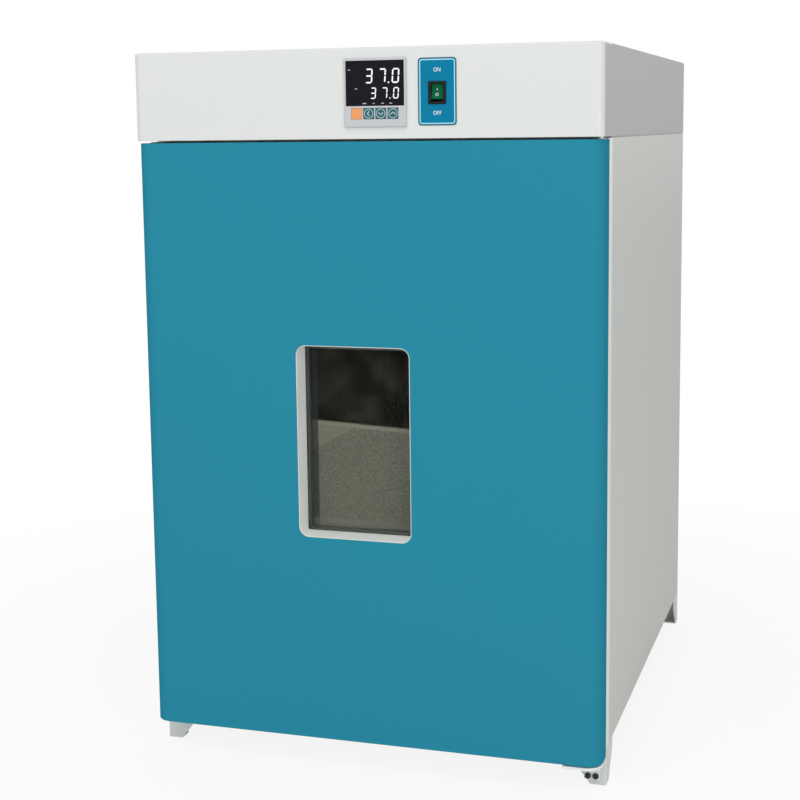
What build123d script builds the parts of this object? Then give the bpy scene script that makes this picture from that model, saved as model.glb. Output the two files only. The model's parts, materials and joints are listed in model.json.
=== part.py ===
"""Laboratory incubator: a sheet-steel cabinet with a windowed front door on right-hand hinges.

Millimetres, +Z up, the front faces -Y. The origin is on the floor, under the middle of the
cabinet. Each function returns one piece, and the table at the end writes one file per piece.
"""
from build123d import *
import os
from math import asin, cos, degrees, radians, sin, sqrt

# Cabinet
cabinet_width = 730.0       # across the side panels
overall_depth = 900.0       # foremost control to rearmost louvre
overall_height = 1115.0     # floor to the top of the header
header_height = 133.5       # control header above the door
header_seam = 2.0           # joint between the header and the body below it
foot_height = 58.0          # floor to the underside of the cabinet
outer_sheet = 1.2           # side, rear and header cover sheet
frame_sheet = 1.5           # front frame, base pan, deck and fascia sheet
panel_bend = 2.6            # outer bend radius of the panels
panel_return = 18.0         # folded return of a side panel
frame_depth = 24.0          # side return of the front frame
rear_stand = 6.0            # how far the louvres and the rear fittings stand out
control_stand = 4.0         # how far the controller's bezel stands out
pan_lip = 22.0              # upstand of the base pan
deck_lip = 34.0             # upstand of the deck under the header
deck_drop = 19.5            # deck floor below the top of the body

# Chamber
side_wall = 65.0            # outer face to chamber, each side
roof_wall = 64.0            # chamber ceiling to the deck
chamber_corner = 18.0       # rounded long corners of the liner
floor_wall = 88.0           # base to chamber floor
rear_space = 73.5           # machine space between the bulkhead and the rear panel's face
liner_sheet = 1.0
liner_flange = 15.0
rear_wall = 65.0            # insulation behind the liner
slab_gap = 0.3              # clearance round the insulation slabs

# Door
door_thickness = 48.0
door_gap = 2.0              # door back to front frame
door_drop = 11.0            # door below the cabinet's underside
door_top_gap = 3.5          # door top to header
door_roll = 25.0            # rolled vertical edges
door_lip = 14.0             # folded return round the door's back
door_sheet = 1.2
door_liner_sheet = 1.5
door_liner_overlap = 6.0    # liner rim behind the door's lip
gasket_width = 24.0
gasket_groove = 8.0         # depth of the gasket's groove in the door liner
gasket_clearance = 0.3      # gasket face to front frame
gasket_inset = 10.0         # gasket outside the chamber's opening
plug_inset = 14.0           # raised part of the door liner inside the chamber's opening
plug_depth = 8.0            # how far the raised part enters the chamber
plug_taper = 6.0

# Door window
window_x = -16.0
window_width = 182.0
window_height = 300.0
window_corner = 16.0
reveal_depth = 28.0         # door face to glass
reveal_taper = 5.0          # how much each side of the reveal closes in
reveal_wall = 2.0
reveal_flange = 10.0
reveal_inner_corner = 3.0
pane = 4.0                  # glass thickness
pane_overlap = 6.0          # glass edge behind the reveal
pane_gap = 9.0              # air between the two panes

# Door grip, a moulded pocket in the free edge
grip_rise = 19.0            # its middle above the chamber's middle
grip_height = 130.0
grip_width = 17.5           # clear width between its outer and inner wall
grip_depth = 30.0
grip_wall = 2.0
grip_front = 15.0           # door face to the pocket's outer wall

# Door hinges
pivot_inset = 8.0           # pivot axis inside the door's right edge
pin_radius = 4.0
pin_clearance = 0.05        # running fit, radial
pin_reach = 18.0            # pin length inside the door
bush_wall = 2.4
bush_flange = 9.0
bush_flange_thickness = 1.2
corner_plate = 4.0          # reinforcement inside the door's hinge corners
corner_plate_length = 62.0
hinge_plate = 4.0           # thickness of the lower hinge plate
hinge_plate_length = 58.0
hinge_plate_drop = 32.0     # downturned flange in front of the foot
hinge_flange_width = 24.0
hinge_flange_inset = 9.0    # from the cabinet's side
hinge_bolt_pitch = 12.0
hinge_bolt_rise = 6.5       # above the flange's lower edge
washer_gap = 0.3
upper_bracket_width = 46.0
upper_bracket_sheet = 3.0

# Header
fascia_corner = 12.0
fascia_edge = 3.0
cover_joint = 0.6           # fascia to header cover
joint_strip_depth = 24.0

# Controller
controller_x = 27.2
controller_rise = 67.5      # its middle above the header's underside
controller_width = 96.0
controller_height = 101.0
bezel_rim = 3.0
bezel_chamfer = 1.2
case_width = 90.0
case_depth = 78.0
display_height = 66.0
display_recess = 0.8
key_width = 16.4
key_height = 16.0
key_pitch = 18.7
key_shift = -0.4            # middle of the row of keys from the controller's middle
key_drop = 30.5             # row of keys below the controller's middle
key_travel = 0.8
key_gap = 0.25              # round each key
key_recess = 0.2

# Mains switch
switch_x = 121.6
switch_rise = 67.4          # its plate's middle above the header's underside
plate_width = 58.0
plate_height = 97.5
plate_corner = 5.0
plate_thickness = 0.8
rocker_drop = 1.6           # rocker below the plate's middle
rocker_bezel_width = 27.0
rocker_bezel_height = 33.0
rocker_bezel_stand = 2.0
rocker_width = 17.0
rocker_height = 22.0
rocker_gap = 0.5            # round the rocker's sides
rocker_tilt = 10.0          # degrees either side of level
rocker_dish = 1.9           # hollow of its face
rocker_pivot_depth = 7.0    # pivot axis behind the fascia's face
rocker_stand = 2.1          # level rocker's ends in front of the fascia's face
switch_body_depth = 22.0
pivot_stub = 1.4            # length of the rocker's pivot stubs
pivot_radius = 1.5

# Fan, heater and air duct
fan_rise = 39.0             # fan above the chamber's middle
duct_depth = 60.0           # air duct between the baffle and the liner's rear wall
baffle_gap = 22.0           # baffle to each side wall
baffle_inset = 26.0         # below the chamber's ceiling and above its floor
intake_pitch = 21.0
intake_hole = 7.0           # radius
intake_rings = 4
slot_length = 44.0
slot_width = 10.0
slot_pitch = 62.0
impeller_radius = 88.0
impeller_eye = 46.0
impeller_depth = 30.0
impeller_sheet = 1.2
impeller_blades = 14
blade_curve = 62.0          # radius of each blade's curve
impeller_stand = 9.0        # backplate in front of the liner's rear wall
shaft_radius = 4.0
shaft_clearance = 0.05
motor_radius = 43.0
motor_length = 52.0
motor_flange = 98.0
motor_flange_sheet = 4.0
heater_radius = 116.0
heater_rod = 4.2
heater_stand = 24.0
heater_lead_x = 12.6        # each lead from the middle

# Shelves and their supports
shelf_headroom = 150.0      # least height above the top shelf
shelf_pitch = 190.0
first_shelf = 176.0         # above the chamber floor
shelf_front_gap = 61.5      # front frame to shelf
shelf_back_gap = 24.0       # shelf to baffle
shelf_rod = 3.5             # radius of the rim
wire_rod = 2.0
wire_pitch = 27.0
shelf_corner = 24.0
pilaster_width = 24.0
pilaster_depth = 6.0
pilaster_inset = 34.0       # above the floor and below the ceiling
pilaster_setback = 70.0     # from each end of the shelf
hook_pitch = 38.0           # slots in each pilaster
hook_drop = 11.5            # middle of a clip's hook below the shelf's rim
clip_reach = 15.0
clip_width = 12.0
clip_sheet = 2.0
clip_height = 22.0

# Temperature probe
probe_drop = 96.0           # below the chamber's ceiling
probe_length = 74.0
probe_radius = 3.0
probe_collar = 8.0

# Feet
foot_width = 56.0
foot_toe = 24.0
foot_sheet = 2.5
foot_knee = 16.0            # upright part of the outer edge below the cabinet

# Rear
louvre_length = 84.0
louvre_pitch = 26.0
louvre_rows = 6
louvre_column = 150.0       # column centres from the middle
rear_panel_margin = 1.2
rear_screw_margin = 40.0
inlet_inset = 115.0         # from the left side, seen from the front
inlet_rise = 58.5           # above the header's underside
inlet_width = 28.0
inlet_height = 21.0
inlet_cavity = 16.0
inlet_flange = 50.0
inlet_flange_sheet = 2.0
fuse_pitch = 60.0           # fuse holder beside the inlet
fuse_radius = 8.0
vent_count = 9
vent_pitch = 16.0
vent_height = 52.0
vent_width = 5.0

# Boards on the deck
board_x = -150.0
board_y = 60.0
board_width = 140.0
board_depth = 100.0
board_sheet = 1.6
standoff = 8.0
standoff_radius = 3.0
transformer = 40.0
terminal = 13.0
capacitor = 9.0             # radius
relay_x = 120.0
relay_y = 80.0
relay_width = 44.0
relay_length = 58.0
sink_width = 84.0
sink_height = 30.0
fin_pitch = 10.0
fin_sheet = 2.0

# Screws
screw_head = 4.0
screw_shank = 2.0
screw_length = 5.0
screw_hole = 2.1            # radius of the holes they pass through
bolt_shank = 3.0
bolt_hole = 3.2
bolt_head = 5.0             # across the corners, halved
head_height = 2.2

# Planes and levels that follow from the sizes above
half_width = cabinet_width / 2
y_face = -overall_depth / 2 + control_stand
y_door_back = y_face + door_thickness
y_frame = y_door_back + door_gap
y_side = y_frame + frame_depth
y_rear = overall_depth / 2 - rear_stand
y_bulkhead = y_rear - rear_space
y_liner_back = y_bulkhead - rear_wall
y_baffle = y_liner_back - duct_depth
z_base = foot_height
z_header = overall_height - header_height
z_body_top = z_header - header_seam
z_deck = z_body_top - deck_drop
z_door = z_base - door_drop
z_door_top = z_header - door_top_gap
z_chamber = z_base + floor_wall
z_ceiling = z_deck - roof_wall
z_middle = (z_chamber + z_ceiling) / 2
chamber_width = cabinet_width - 2 * side_wall
chamber_height = z_ceiling - z_chamber
window_z = z_middle
grip_z = z_middle + grip_rise
fan_z = z_middle + fan_rise
controller_z = z_header + controller_rise
key_x = controller_x + key_shift
key_z = controller_z - key_drop
switch_z = z_header + switch_rise
rocker_z = switch_z - rocker_drop
inlet_x = -half_width + inlet_inset
inlet_z = z_header + inlet_rise
fuse_x = inlet_x + fuse_pitch
baffle_width = chamber_width - 2 * baffle_gap
inner_half = half_width - outer_sheet
pan_half = inner_half - frame_sheet
liner_half = chamber_width / 2 + liner_sheet
pivot_x = half_width - pivot_inset
pivot_y = y_face + door_thickness / 2
y_liner_rim = y_door_back - door_sheet
y_land = y_liner_rim - gasket_groove
y_plug = y_frame + plug_depth
y_outer_glass = y_face + reveal_depth
y_inner_glass = y_outer_glass + pane + pane_gap
y_bezel = y_face - control_stand
y_case = y_face - 0.6
z_plate_top = z_door - bush_flange_thickness - 2 * washer_gap


# Shared shapes

def block(x0, x1, y0, y1, z0, z1):
    """A box between two opposite corners."""
    size = Box(x1 - x0, y1 - y0, z1 - z0)
    return Pos((x0 + x1) / 2, (y0 + y1) / 2, (z0 + z1) / 2) * size


def rounded(solid, axis, radius):
    """Round every edge of a block that runs along an axis."""
    return fillet(solid.edges().filter_by(axis), radius)


def rod(start, end, radius):
    """A round bar between two points."""
    line = Vector(*end) - Vector(*start)
    bar = Cylinder(radius, line.length, align=(Align.CENTER, Align.CENTER, Align.MIN))
    return Plane(origin=start, z_dir=line) * bar


def front_plate(x, z, width, height, corner, y0, y1):
    """A plate that faces the front, with rounded corners."""
    plate = block(x - width / 2, x + width / 2, y0, y1, z - height / 2, z + height / 2)
    return rounded(plate, Axis.Y, corner)


def group(solids):
    """Separate solids kept together in one piece's file."""
    return Compound(list(solids))


def slab_between(y0, y1, z0, z1, x0, x1):
    """An insulation slab, held back from its neighbours all round."""
    g = slab_gap
    return block(x0 + g, x1 - g, y0 + g, y1 - g, z0 + g, z1 - g)


def screw_y(x, y, z):
    """A pan-head screw whose head stands on a face that looks to the rear."""
    base = Plane(origin=(x, y, z), z_dir=(0, 1, 0))
    head = base * Cone(screw_head, screw_head * 0.7, head_height, align=(Align.CENTER, Align.CENTER, Align.MIN))
    return head + base * extrude(RegularPolygon(screw_shank, 6), -screw_length)


def screw_holes(places):
    """Clearance holes for screws at these places."""
    return [rod((x, y + 1, z), (x, y - screw_length - 1, z), screw_hole) for x, y, z in places]


def rear_screw_places():
    """Screws down both edges of the rear panel."""
    x = half_width - panel_return / 2
    step = (z_body_top - z_base - 2 * rear_screw_margin) / 4
    levels = [z_base + rear_screw_margin + i * step for i in range(5)]
    return [(side * x, y_rear, z) for side in (-1, 1) for z in levels]


def inlet_screw_places():
    """The two screws of the mains inlet's flange."""
    reach = inlet_flange / 2 - 5
    return [(inlet_x + side * reach, y_rear + inlet_flange_sheet, inlet_z) for side in (-1, 1)]


def motor_screw_places():
    """The four screws of the fan motor's flange."""
    offset = motor_flange / 2 - 9
    y = y_bulkhead + outer_sheet + motor_flange_sheet
    return [(sx * offset, y, fan_z + sz * offset) for sx in (-1, 1) for sz in (-1, 1)]


# Cabinet body

def side_panel(side):
    """One side of the cabinet, with folded returns at its front and rear."""
    panel = block(half_width - panel_return, half_width, y_side, y_rear - outer_sheet, z_base, z_body_top)
    outer_edges = panel.edges().filter_by(Axis.Z).sort_by(Axis.X)[-2:]
    panel = fillet(outer_edges, panel_bend)
    hollow = block(0, inner_half, y_side + outer_sheet, y_rear - 2 * outer_sheet, z_base - 1, z_body_top + 1)
    panel = panel - hollow - screw_holes(rear_screw_places())
    return panel if side > 0 else mirror(panel, about=Plane.YZ)


def front_frame():
    """The white steel frame round the chamber's mouth, which the gasket closes on."""
    frame = block(-half_width, half_width, y_frame, y_side, z_base, z_body_top)
    frame = fillet(frame.edges().group_by(Axis.Y)[0], panel_bend)
    inner = half_width - frame_sheet
    frame -= block(-inner, inner, y_frame + frame_sheet, y_side + 1, z_base + frame_sheet, z_body_top - frame_sheet)
    mouth = front_plate(0, z_middle, chamber_width, chamber_height, chamber_corner, y_frame - 1, y_side)
    return frame - mouth


def foot_bolt_places():
    """The bolt through the middle of each foot's seat."""
    offset = foot_width / 2 + foot_sheet
    rows = ((-1, y_frame + offset), (1, y_rear - outer_sheet - offset))
    return [(side * (half_width - offset), y) for side in (-1, 1) for _, y in rows]


def base_pan():
    """The folded floor tray of the cabinet."""
    front = y_side + outer_sheet
    back = y_rear - 2 * outer_sheet
    pan = block(-inner_half, inner_half, front, back, z_base, z_base + pan_lip)
    pan = fillet(pan.edges().group_by(Axis.Z)[0].filter_by(Axis.Y), frame_sheet)
    s = frame_sheet
    pan -= block(-pan_half, pan_half, front + s, back - s, z_base + s, z_base + pan_lip + 1)
    return pan - [Pos(x, y, z_base) * Cylinder(bolt_hole, 8) for x, y in foot_bolt_places()]


def deck():
    """The tray that closes the body and carries the header on its upstand."""
    front = y_side + outer_sheet
    back = y_rear - 2 * outer_sheet
    tray = block(-inner_half, inner_half, front, back, z_deck, z_deck + deck_lip)
    s = frame_sheet
    return tray - block(-pan_half, pan_half, front + s, back - s, z_deck + s, z_deck + deck_lip + 1)


def heater_leads():
    """Where the heater's two ends pass through the liner's rear wall."""
    z = fan_z + sqrt(heater_radius ** 2 - heater_lead_x ** 2)
    return [(-heater_lead_x, z), (heater_lead_x, z)]


def inner_chamber():
    """The stainless liner: a tube with rounded corners, a front flange and a rear wall."""
    front = y_frame + frame_sheet
    s = liner_sheet
    outer_w = chamber_width + 2 * s
    outer_h = chamber_height + 2 * s
    tube = front_plate(0, z_middle, outer_w, outer_h, chamber_corner + s, front, y_liner_back + s)
    flange_w = outer_w + 2 * liner_flange
    flange_h = outer_h + 2 * liner_flange
    tube += front_plate(0, z_middle, flange_w, flange_h, chamber_corner + s, front, front + s)
    tube -= front_plate(0, z_middle, chamber_width, chamber_height, chamber_corner, front - 1, y_liner_back)
    tube -= rod((0, y_liner_back - 1, fan_z), (0, y_liner_back + 2 * s, fan_z), 2.5 * shaft_radius)
    for x, z in heater_leads():
        tube -= rod((x, y_liner_back - 1, z), (x, y_liner_back + 2 * s, z), heater_rod)
    return tube


def insulation():
    """Five insulation slabs: two sides, roof, floor and one behind the liner."""
    front = y_side + outer_sheet + frame_sheet
    low = z_base + frame_sheet
    liner_low = z_chamber - liner_sheet
    liner_high = z_ceiling + liner_sheet
    slabs = [slab_between(front, y_bulkhead, low, z_deck, -pan_half, -liner_half)]
    slabs.append(slab_between(front, y_bulkhead, low, z_deck, liner_half, pan_half))
    slabs.append(slab_between(front, y_bulkhead, liner_high, z_deck, -liner_half, liner_half))
    slabs.append(slab_between(front, y_bulkhead, low, liner_low, -liner_half, liner_half))
    rear = slab_between(y_liner_back + liner_sheet, y_bulkhead, liner_low, liner_high, -liner_half, liner_half)
    rear -= rod((0, y_liner_back, fan_z), (0, y_bulkhead, fan_z), 2.5 * shaft_radius)
    for x, z in heater_leads():
        rear -= rod((x, y_liner_back, z), (x, y_liner_back + rear_wall / 2, z), heater_rod + slab_gap)
    slabs.append(rear)
    return group(slabs)


def bulkhead():
    """The sheet behind the insulation, which carries the fan motor."""
    lip = outer_sheet * 10
    low = z_base + frame_sheet
    wall = block(-pan_half, pan_half, y_bulkhead, y_bulkhead + lip, low, z_deck)
    s = outer_sheet
    wall -= block(-pan_half + s, pan_half - s, y_bulkhead + s, y_bulkhead + lip + 1, low + s, z_deck - s)
    wall -= rod((0, y_bulkhead - 1, fan_z), (0, y_bulkhead + 2 * s, fan_z), 2.5 * shaft_radius)
    return wall - screw_holes(motor_screw_places())


def louvre(x, z):
    """One pressed hood of the rear panel, open at its lower edge."""
    half = louvre_length / 2
    hood = rod((x - half, y_rear, z), (x + half, y_rear, z), rear_stand)
    hood -= rod((x - half + outer_sheet, y_rear, z), (x + half - outer_sheet, y_rear, z), rear_stand - outer_sheet)
    return hood & block(x - half, x + half, y_rear, y_rear + rear_stand, z, z + rear_stand)


def rear_panel():
    """The screwed-on rear panel with two columns of louvres."""
    m = rear_panel_margin
    low = z_base + m
    high = z_body_top - m
    panel = block(-half_width + m, half_width - m, y_rear - outer_sheet, y_rear, low, high)
    hoods = []
    for side in (-1, 1):
        for row in range(louvre_rows):
            x = side * louvre_column
            z = fan_z + (row - (louvre_rows - 1) / 2) * louvre_pitch
            half = louvre_length / 2 - outer_sheet
            panel -= block(x - half, x + half, y_rear - 2, y_rear + 1, z, z + rear_stand - outer_sheet)
            hoods.append(louvre(x, z))
    return panel + hoods - screw_holes(rear_screw_places())


# Feet

def foot(side, end):
    """A pressed corner foot; side and end are the corner's signs along X and Y."""
    t = foot_sheet
    w = foot_width
    outline = Polyline((0, 0), (foot_toe, 0), (w, foot_height - foot_knee), (w, foot_height), (0, foot_height))
    leaf = make_face(outline + Line((0, foot_height), (0, 0)))
    leaf_x = extrude(Plane.XZ * leaf, -t)
    leaf_y = extrude(Plane.YZ * leaf, t)
    solid = leaf_x + leaf_y
    corner = solid.edges().filter_by(Axis.Z).sort_by_distance((0, 0, foot_height / 2))[0]
    solid = fillet(corner, t)
    sole = block(t, foot_toe, t, foot_toe, 0, t)
    seat = block(t, w, t, w, foot_height - t, foot_height)
    solid = solid + sole + seat - Pos(w / 2 + t, w / 2 + t, foot_height) * Cylinder(bolt_hole, 4 * t)
    corner_y = y_frame if end < 0 else y_rear - outer_sheet
    if side > 0:
        solid = mirror(solid, about=Plane.YZ)
    if end > 0:
        solid = mirror(solid, about=Plane.XZ)
    solid = Pos(side * half_width, corner_y, 0) * solid
    holes = [rod((x, y_frame - 1, z), (x, y_frame + 2 * t, z), bolt_hole) for x, z in hinge_bolt_places()]
    return solid - holes


# Header

def header_fascia():
    """The front cap of the header, rounded at its upright edges, open to the rear."""
    back = y_side - cover_joint
    cap = block(-half_width, half_width, y_face, back, z_header, overall_height)
    uprights = cap.edges().filter_by(Axis.Z).group_by(Axis.Y)[0]
    cap = fillet(uprights, fascia_corner)
    cap = fillet(cap.faces().sort_by(Axis.Y)[0].edges().sort_by(Axis.Z)[-1], fascia_edge)
    s = frame_sheet
    hollow = block(-half_width + s, half_width - s, y_face + s, back + 1, z_header + s, overall_height - s)
    hollow = fillet(hollow.edges().filter_by(Axis.Z).group_by(Axis.Y)[0], fascia_corner - s)
    cap -= hollow
    half = case_width / 2 + slab_gap
    x, z = controller_x, controller_z
    cap -= block(x - half, x + half, y_face - 1, y_face + 2 * s, z - half, z + half)
    w = rocker_bezel_width / 2 - 2.5
    h = rocker_bezel_height / 2 - 2.5
    cap -= block(switch_x - w, switch_x + w, y_face - 1, y_face + 2 * s, rocker_z - h, rocker_z + h)
    cap -= rod((pivot_x, pivot_y, z_header - 1), (pivot_x, pivot_y, z_header + 2 * s), pin_radius + slab_gap)
    return cap


def header_cover():
    """Top, sides and rear of the header, folded from one sheet."""
    cover = block(-half_width, half_width, y_side, y_rear, z_header, overall_height)
    top = cover.edges().group_by(Axis.Z)[-1].filter_by(Axis.Y)
    cover = fillet(top, panel_bend)
    cover = fillet(cover.edges().filter_by(Axis.Z).group_by(Axis.Y)[-1], panel_bend)
    s = outer_sheet
    cover -= block(-inner_half, inner_half, y_side - 1, y_rear - s, z_header - 1, overall_height - s)
    half_w = inlet_width / 2 + 1
    half_h = inlet_height / 2 + 1
    cover -= block(inlet_x - half_w, inlet_x + half_w, y_rear - 3, y_rear + 1, inlet_z - half_h, inlet_z + half_h)
    cover -= rod((fuse_x, y_rear - 3, inlet_z), (fuse_x, y_rear + 1, inlet_z), fuse_radius)
    middle = half_width / 2
    for i in range(vent_count):
        x = middle + (i - (vent_count - 1) / 2) * vent_pitch
        half = vent_width / 2
        top = inlet_z + vent_height / 2
        cover -= block(x - half, x + half, y_rear - 3, y_rear + 1, top - vent_height, top)
    return cover - screw_holes(inlet_screw_places())


def header_joint_strip():
    """A bent strip inside the joint between the fascia and the header cover."""
    low = z_deck + deck_lip + slab_gap
    half = half_width - frame_sheet
    high = overall_height - frame_sheet
    y0 = y_side - joint_strip_depth / 2
    y1 = y_side + joint_strip_depth / 2
    strip = block(-half, half, y0, y1, low, high)
    s = frame_sheet
    return strip - block(-half + s, half - s, y0 - 1, y1 + 1, low - 1, high - s)


def mains_inlet():
    """A three-pin appliance inlet with its screwed flange."""
    y = y_rear
    flange = front_plate(inlet_x, inlet_z, inlet_flange, inlet_height + 4, 4, y, y + inlet_flange_sheet)
    flange -= screw_holes(inlet_screw_places())
    body_w = inlet_width / 2
    body_h = inlet_height / 2
    body = block(inlet_x - body_w, inlet_x + body_w, y - 22, y + rear_stand - 1, inlet_z - body_h, inlet_z + body_h)
    cavity = block(inlet_x - 11, inlet_x + 11, y + rear_stand - 1 - inlet_cavity, y + rear_stand, inlet_z - 7, inlet_z + 7)
    cavity = chamfer(cavity.edges().filter_by(Axis.Y).group_by(Axis.Z)[-1], 4)
    inlet = flange + body - cavity
    start = y + rear_stand - 2 - inlet_cavity
    for dx, dz in ((-7, -2), (7, -2), (0, 2)):
        x = inlet_x + dx
        z = inlet_z + dz
        inlet += block(x - 1, x + 1, start, start + 12, z - 2.5, z + 2.5)
    return inlet


def fuse_holder():
    """A round screw-cap fuse holder beside the inlet."""
    y = y_rear
    body = rod((fuse_x, y - 24, inlet_z), (fuse_x, y, inlet_z), fuse_radius - slab_gap)
    collar = rod((fuse_x, y, inlet_z), (fuse_x, y + 2, inlet_z), fuse_radius + 2.5)
    cap = rod((fuse_x, y + 2, inlet_z), (fuse_x, y + rear_stand, inlet_z), fuse_radius - 1.5)
    slot = block(fuse_x - 5, fuse_x + 5, y + rear_stand - 1.2, y + rear_stand + 1, inlet_z - 0.8, inlet_z + 0.8)
    return body + collar + cap - slot


def control_board():
    """The power board on its standoffs on the deck, with its transformer and terminals."""
    foot_z = z_deck + frame_sheet
    low = foot_z + standoff
    top = low + board_sheet
    half_w = board_width / 2
    half_d = board_depth / 2
    board = block(board_x - half_w, board_x + half_w, board_y - half_d, board_y + half_d, low, top)
    for sx in (-1, 1):
        for sy in (-1, 1):
            x = board_x + sx * (half_w - standoff)
            y = board_y + sy * (half_d - standoff)
            board += rod((x, y, foot_z), (x, y, low), standoff_radius)
    x = board_x - half_w + transformer / 2
    board += block(x - transformer / 2 + standoff, x + transformer / 2, board_y - half_d + transformer / 3,
                   board_y - half_d + transformer * 4 / 3, top, top + transformer * 0.8)
    x = board_x + half_w - standoff
    board += block(x - terminal, x, board_y - half_d + standoff, board_y + half_d - standoff, top, top + terminal)
    for row in (-1, 0, 1):
        y = board_y + row * 3 * capacitor
        board += rod((board_x + capacitor, y, top), (board_x + capacitor, y, top + 2.7 * capacitor), capacitor)
    return board


def heater_relay():
    """The solid-state relay on its finned heat sink."""
    z = z_deck + frame_sheet
    top = z + sink_height
    half = sink_width / 2
    sink = block(relay_x - half, relay_x + half, relay_y - half, relay_y + half, z, top)
    gaps = int(sink_width // fin_pitch) - 1
    for i in range(gaps):
        x = relay_x + (i - (gaps - 1) / 2) * fin_pitch
        width = (fin_pitch - fin_sheet) / 2
        sink -= block(x - width, x + width, relay_y - half - 1, relay_y + half + 1, z - 1, top - 3 * fin_sheet)
    x0, x1 = relay_x - relay_width / 2, relay_x + relay_width / 2
    return sink + block(x0, x1, relay_y - relay_length / 2, relay_y + relay_length / 2, top, top + relay_width / 2)


# Controller

def controller_case():
    """The controller's housing behind the fascia."""
    half = case_width / 2
    x, z = controller_x, controller_z
    case = block(x - half, x + half, y_case, y_case + case_depth, z - half, z + half)
    case = rounded(case, Axis.Y, 2)
    for side in (-1, 1):
        top = z + side * half
        case += block(x - 10, x + 10, y_face + frame_sheet, y_face + 30, top - 1, top + 1)
    return case


def key_centres():
    """The four keys' middles, left to right."""
    return [key_x + (i - 1.5) * key_pitch for i in range(4)]


def controller_bezel():
    """The moulded bezel, with a pocket for the display and one hole per key."""
    bezel = front_plate(controller_x, controller_z, controller_width, controller_height, 2, y_bezel, y_face)
    bezel = chamfer(bezel.edges().group_by(Axis.Y)[0], bezel_chamfer)
    half = case_width / 2
    x, z = controller_x, controller_z
    bezel -= block(x - half, x + half, y_case, y_face + 1, z - half, z + half)
    display_half = controller_width / 2 - bezel_rim
    top = z + controller_height / 2 - bezel_rim - 1
    bezel -= block(x - display_half, x + display_half, y_bezel - 1, y_face, top - display_height, top)
    for centre in key_centres():
        w = key_width / 2 + key_gap
        h = key_height / 2 + key_gap
        bezel -= block(centre - w, centre + w, y_bezel - 1, y_face, key_z - h, key_z + h)
    return bezel


def display_window():
    """The dark display window in the bezel's pocket."""
    half = controller_width / 2 - bezel_rim - 0.1
    top = controller_z + controller_height / 2 - bezel_rim - 1.1
    x = controller_x
    return block(x - half, x + half, y_bezel + display_recess, y_case, top - display_height + 0.2, top)


def controller_key(index):
    """One key, free to move back towards the case by its travel."""
    x = key_centres()[index]
    w = key_width / 2
    h = key_height / 2
    front = y_bezel + key_recess
    key = block(x - w, x + w, front, y_case - key_travel - slab_gap, key_z - h, key_z + h)
    return chamfer(key.edges().group_by(Axis.Y)[0], 0.4)


# Mains switch

def switch_plate():
    """The teal plate behind the mains switch."""
    plate = front_plate(switch_x, switch_z, plate_width, plate_height, plate_corner, y_face - plate_thickness, y_face)
    w = rocker_bezel_width / 2 - 2.5
    h = rocker_bezel_height / 2 - 2.5
    return plate - block(switch_x - w, switch_x + w, y_face - 3, y_face + 3, rocker_z - h, rocker_z + h)


def rocker_half_height():
    """Half the mouth that the tilting rocker needs in its housing."""
    end_y = rocker_pivot_depth + rocker_stand
    tilt = radians(rocker_tilt)
    return rocker_height / 2 * cos(tilt) + end_y * sin(tilt) + rocker_gap


def switch_housing():
    """The black snap-in housing of the rocker, with its bezel."""
    w = rocker_bezel_width / 2
    h = rocker_bezel_height / 2
    y0 = y_face - plate_thickness - rocker_bezel_stand
    bezel = block(switch_x - w, switch_x + w, y0, y_face - plate_thickness, rocker_z - h, rocker_z + h)
    bezel = chamfer(bezel.edges().group_by(Axis.Y)[0], 0.8)
    inset = 2.5 + 0.2
    body = block(
        switch_x - w + inset, switch_x + w - inset, y0 + 1, y_face + switch_body_depth,
        rocker_z - h + inset, rocker_z + h - inset)
    housing = bezel + body
    mouth_w = rocker_width / 2 + rocker_gap
    mouth_h = rocker_half_height()
    housing -= block(
        switch_x - mouth_w, switch_x + mouth_w, y0 - 1, y_face + rocker_pivot_depth + 8,
        rocker_z - mouth_h, rocker_z + mouth_h)
    y = y_face + rocker_pivot_depth
    reach = mouth_w + pivot_stub + slab_gap
    return housing - rod((switch_x - reach, y, rocker_z), (switch_x + reach, y, rocker_z), pivot_radius + 0.05)


def rocker():
    """The rocker, shown pressed at its upper end, with a pivot stub at each side."""
    half = rocker_height / 2
    front_end = rocker_pivot_depth + rocker_stand
    front_mid = front_end - rocker_dish
    outline = Polyline((-2, half - 4), (-front_end, half))
    outline += ThreePointArc((-front_end, half), (-front_mid, 0), (-front_end, -half))
    outline += Polyline((-front_end, -half), (-2, -half + 4), (3, -3), (3, 3), (-2, half - 4))
    face = make_face(outline)
    w = rocker_width / 2
    body = extrude(Plane.YZ * face, w, both=True)
    stub = rod((-w - rocker_gap - pivot_stub, 0, 0), (w + rocker_gap + pivot_stub, 0, 0), pivot_radius)
    tilted = Rot(X=-rocker_tilt) * (body + stub)
    return Pos(switch_x, y_face + rocker_pivot_depth, rocker_z) * tilted


# Fan, heater and duct

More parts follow.
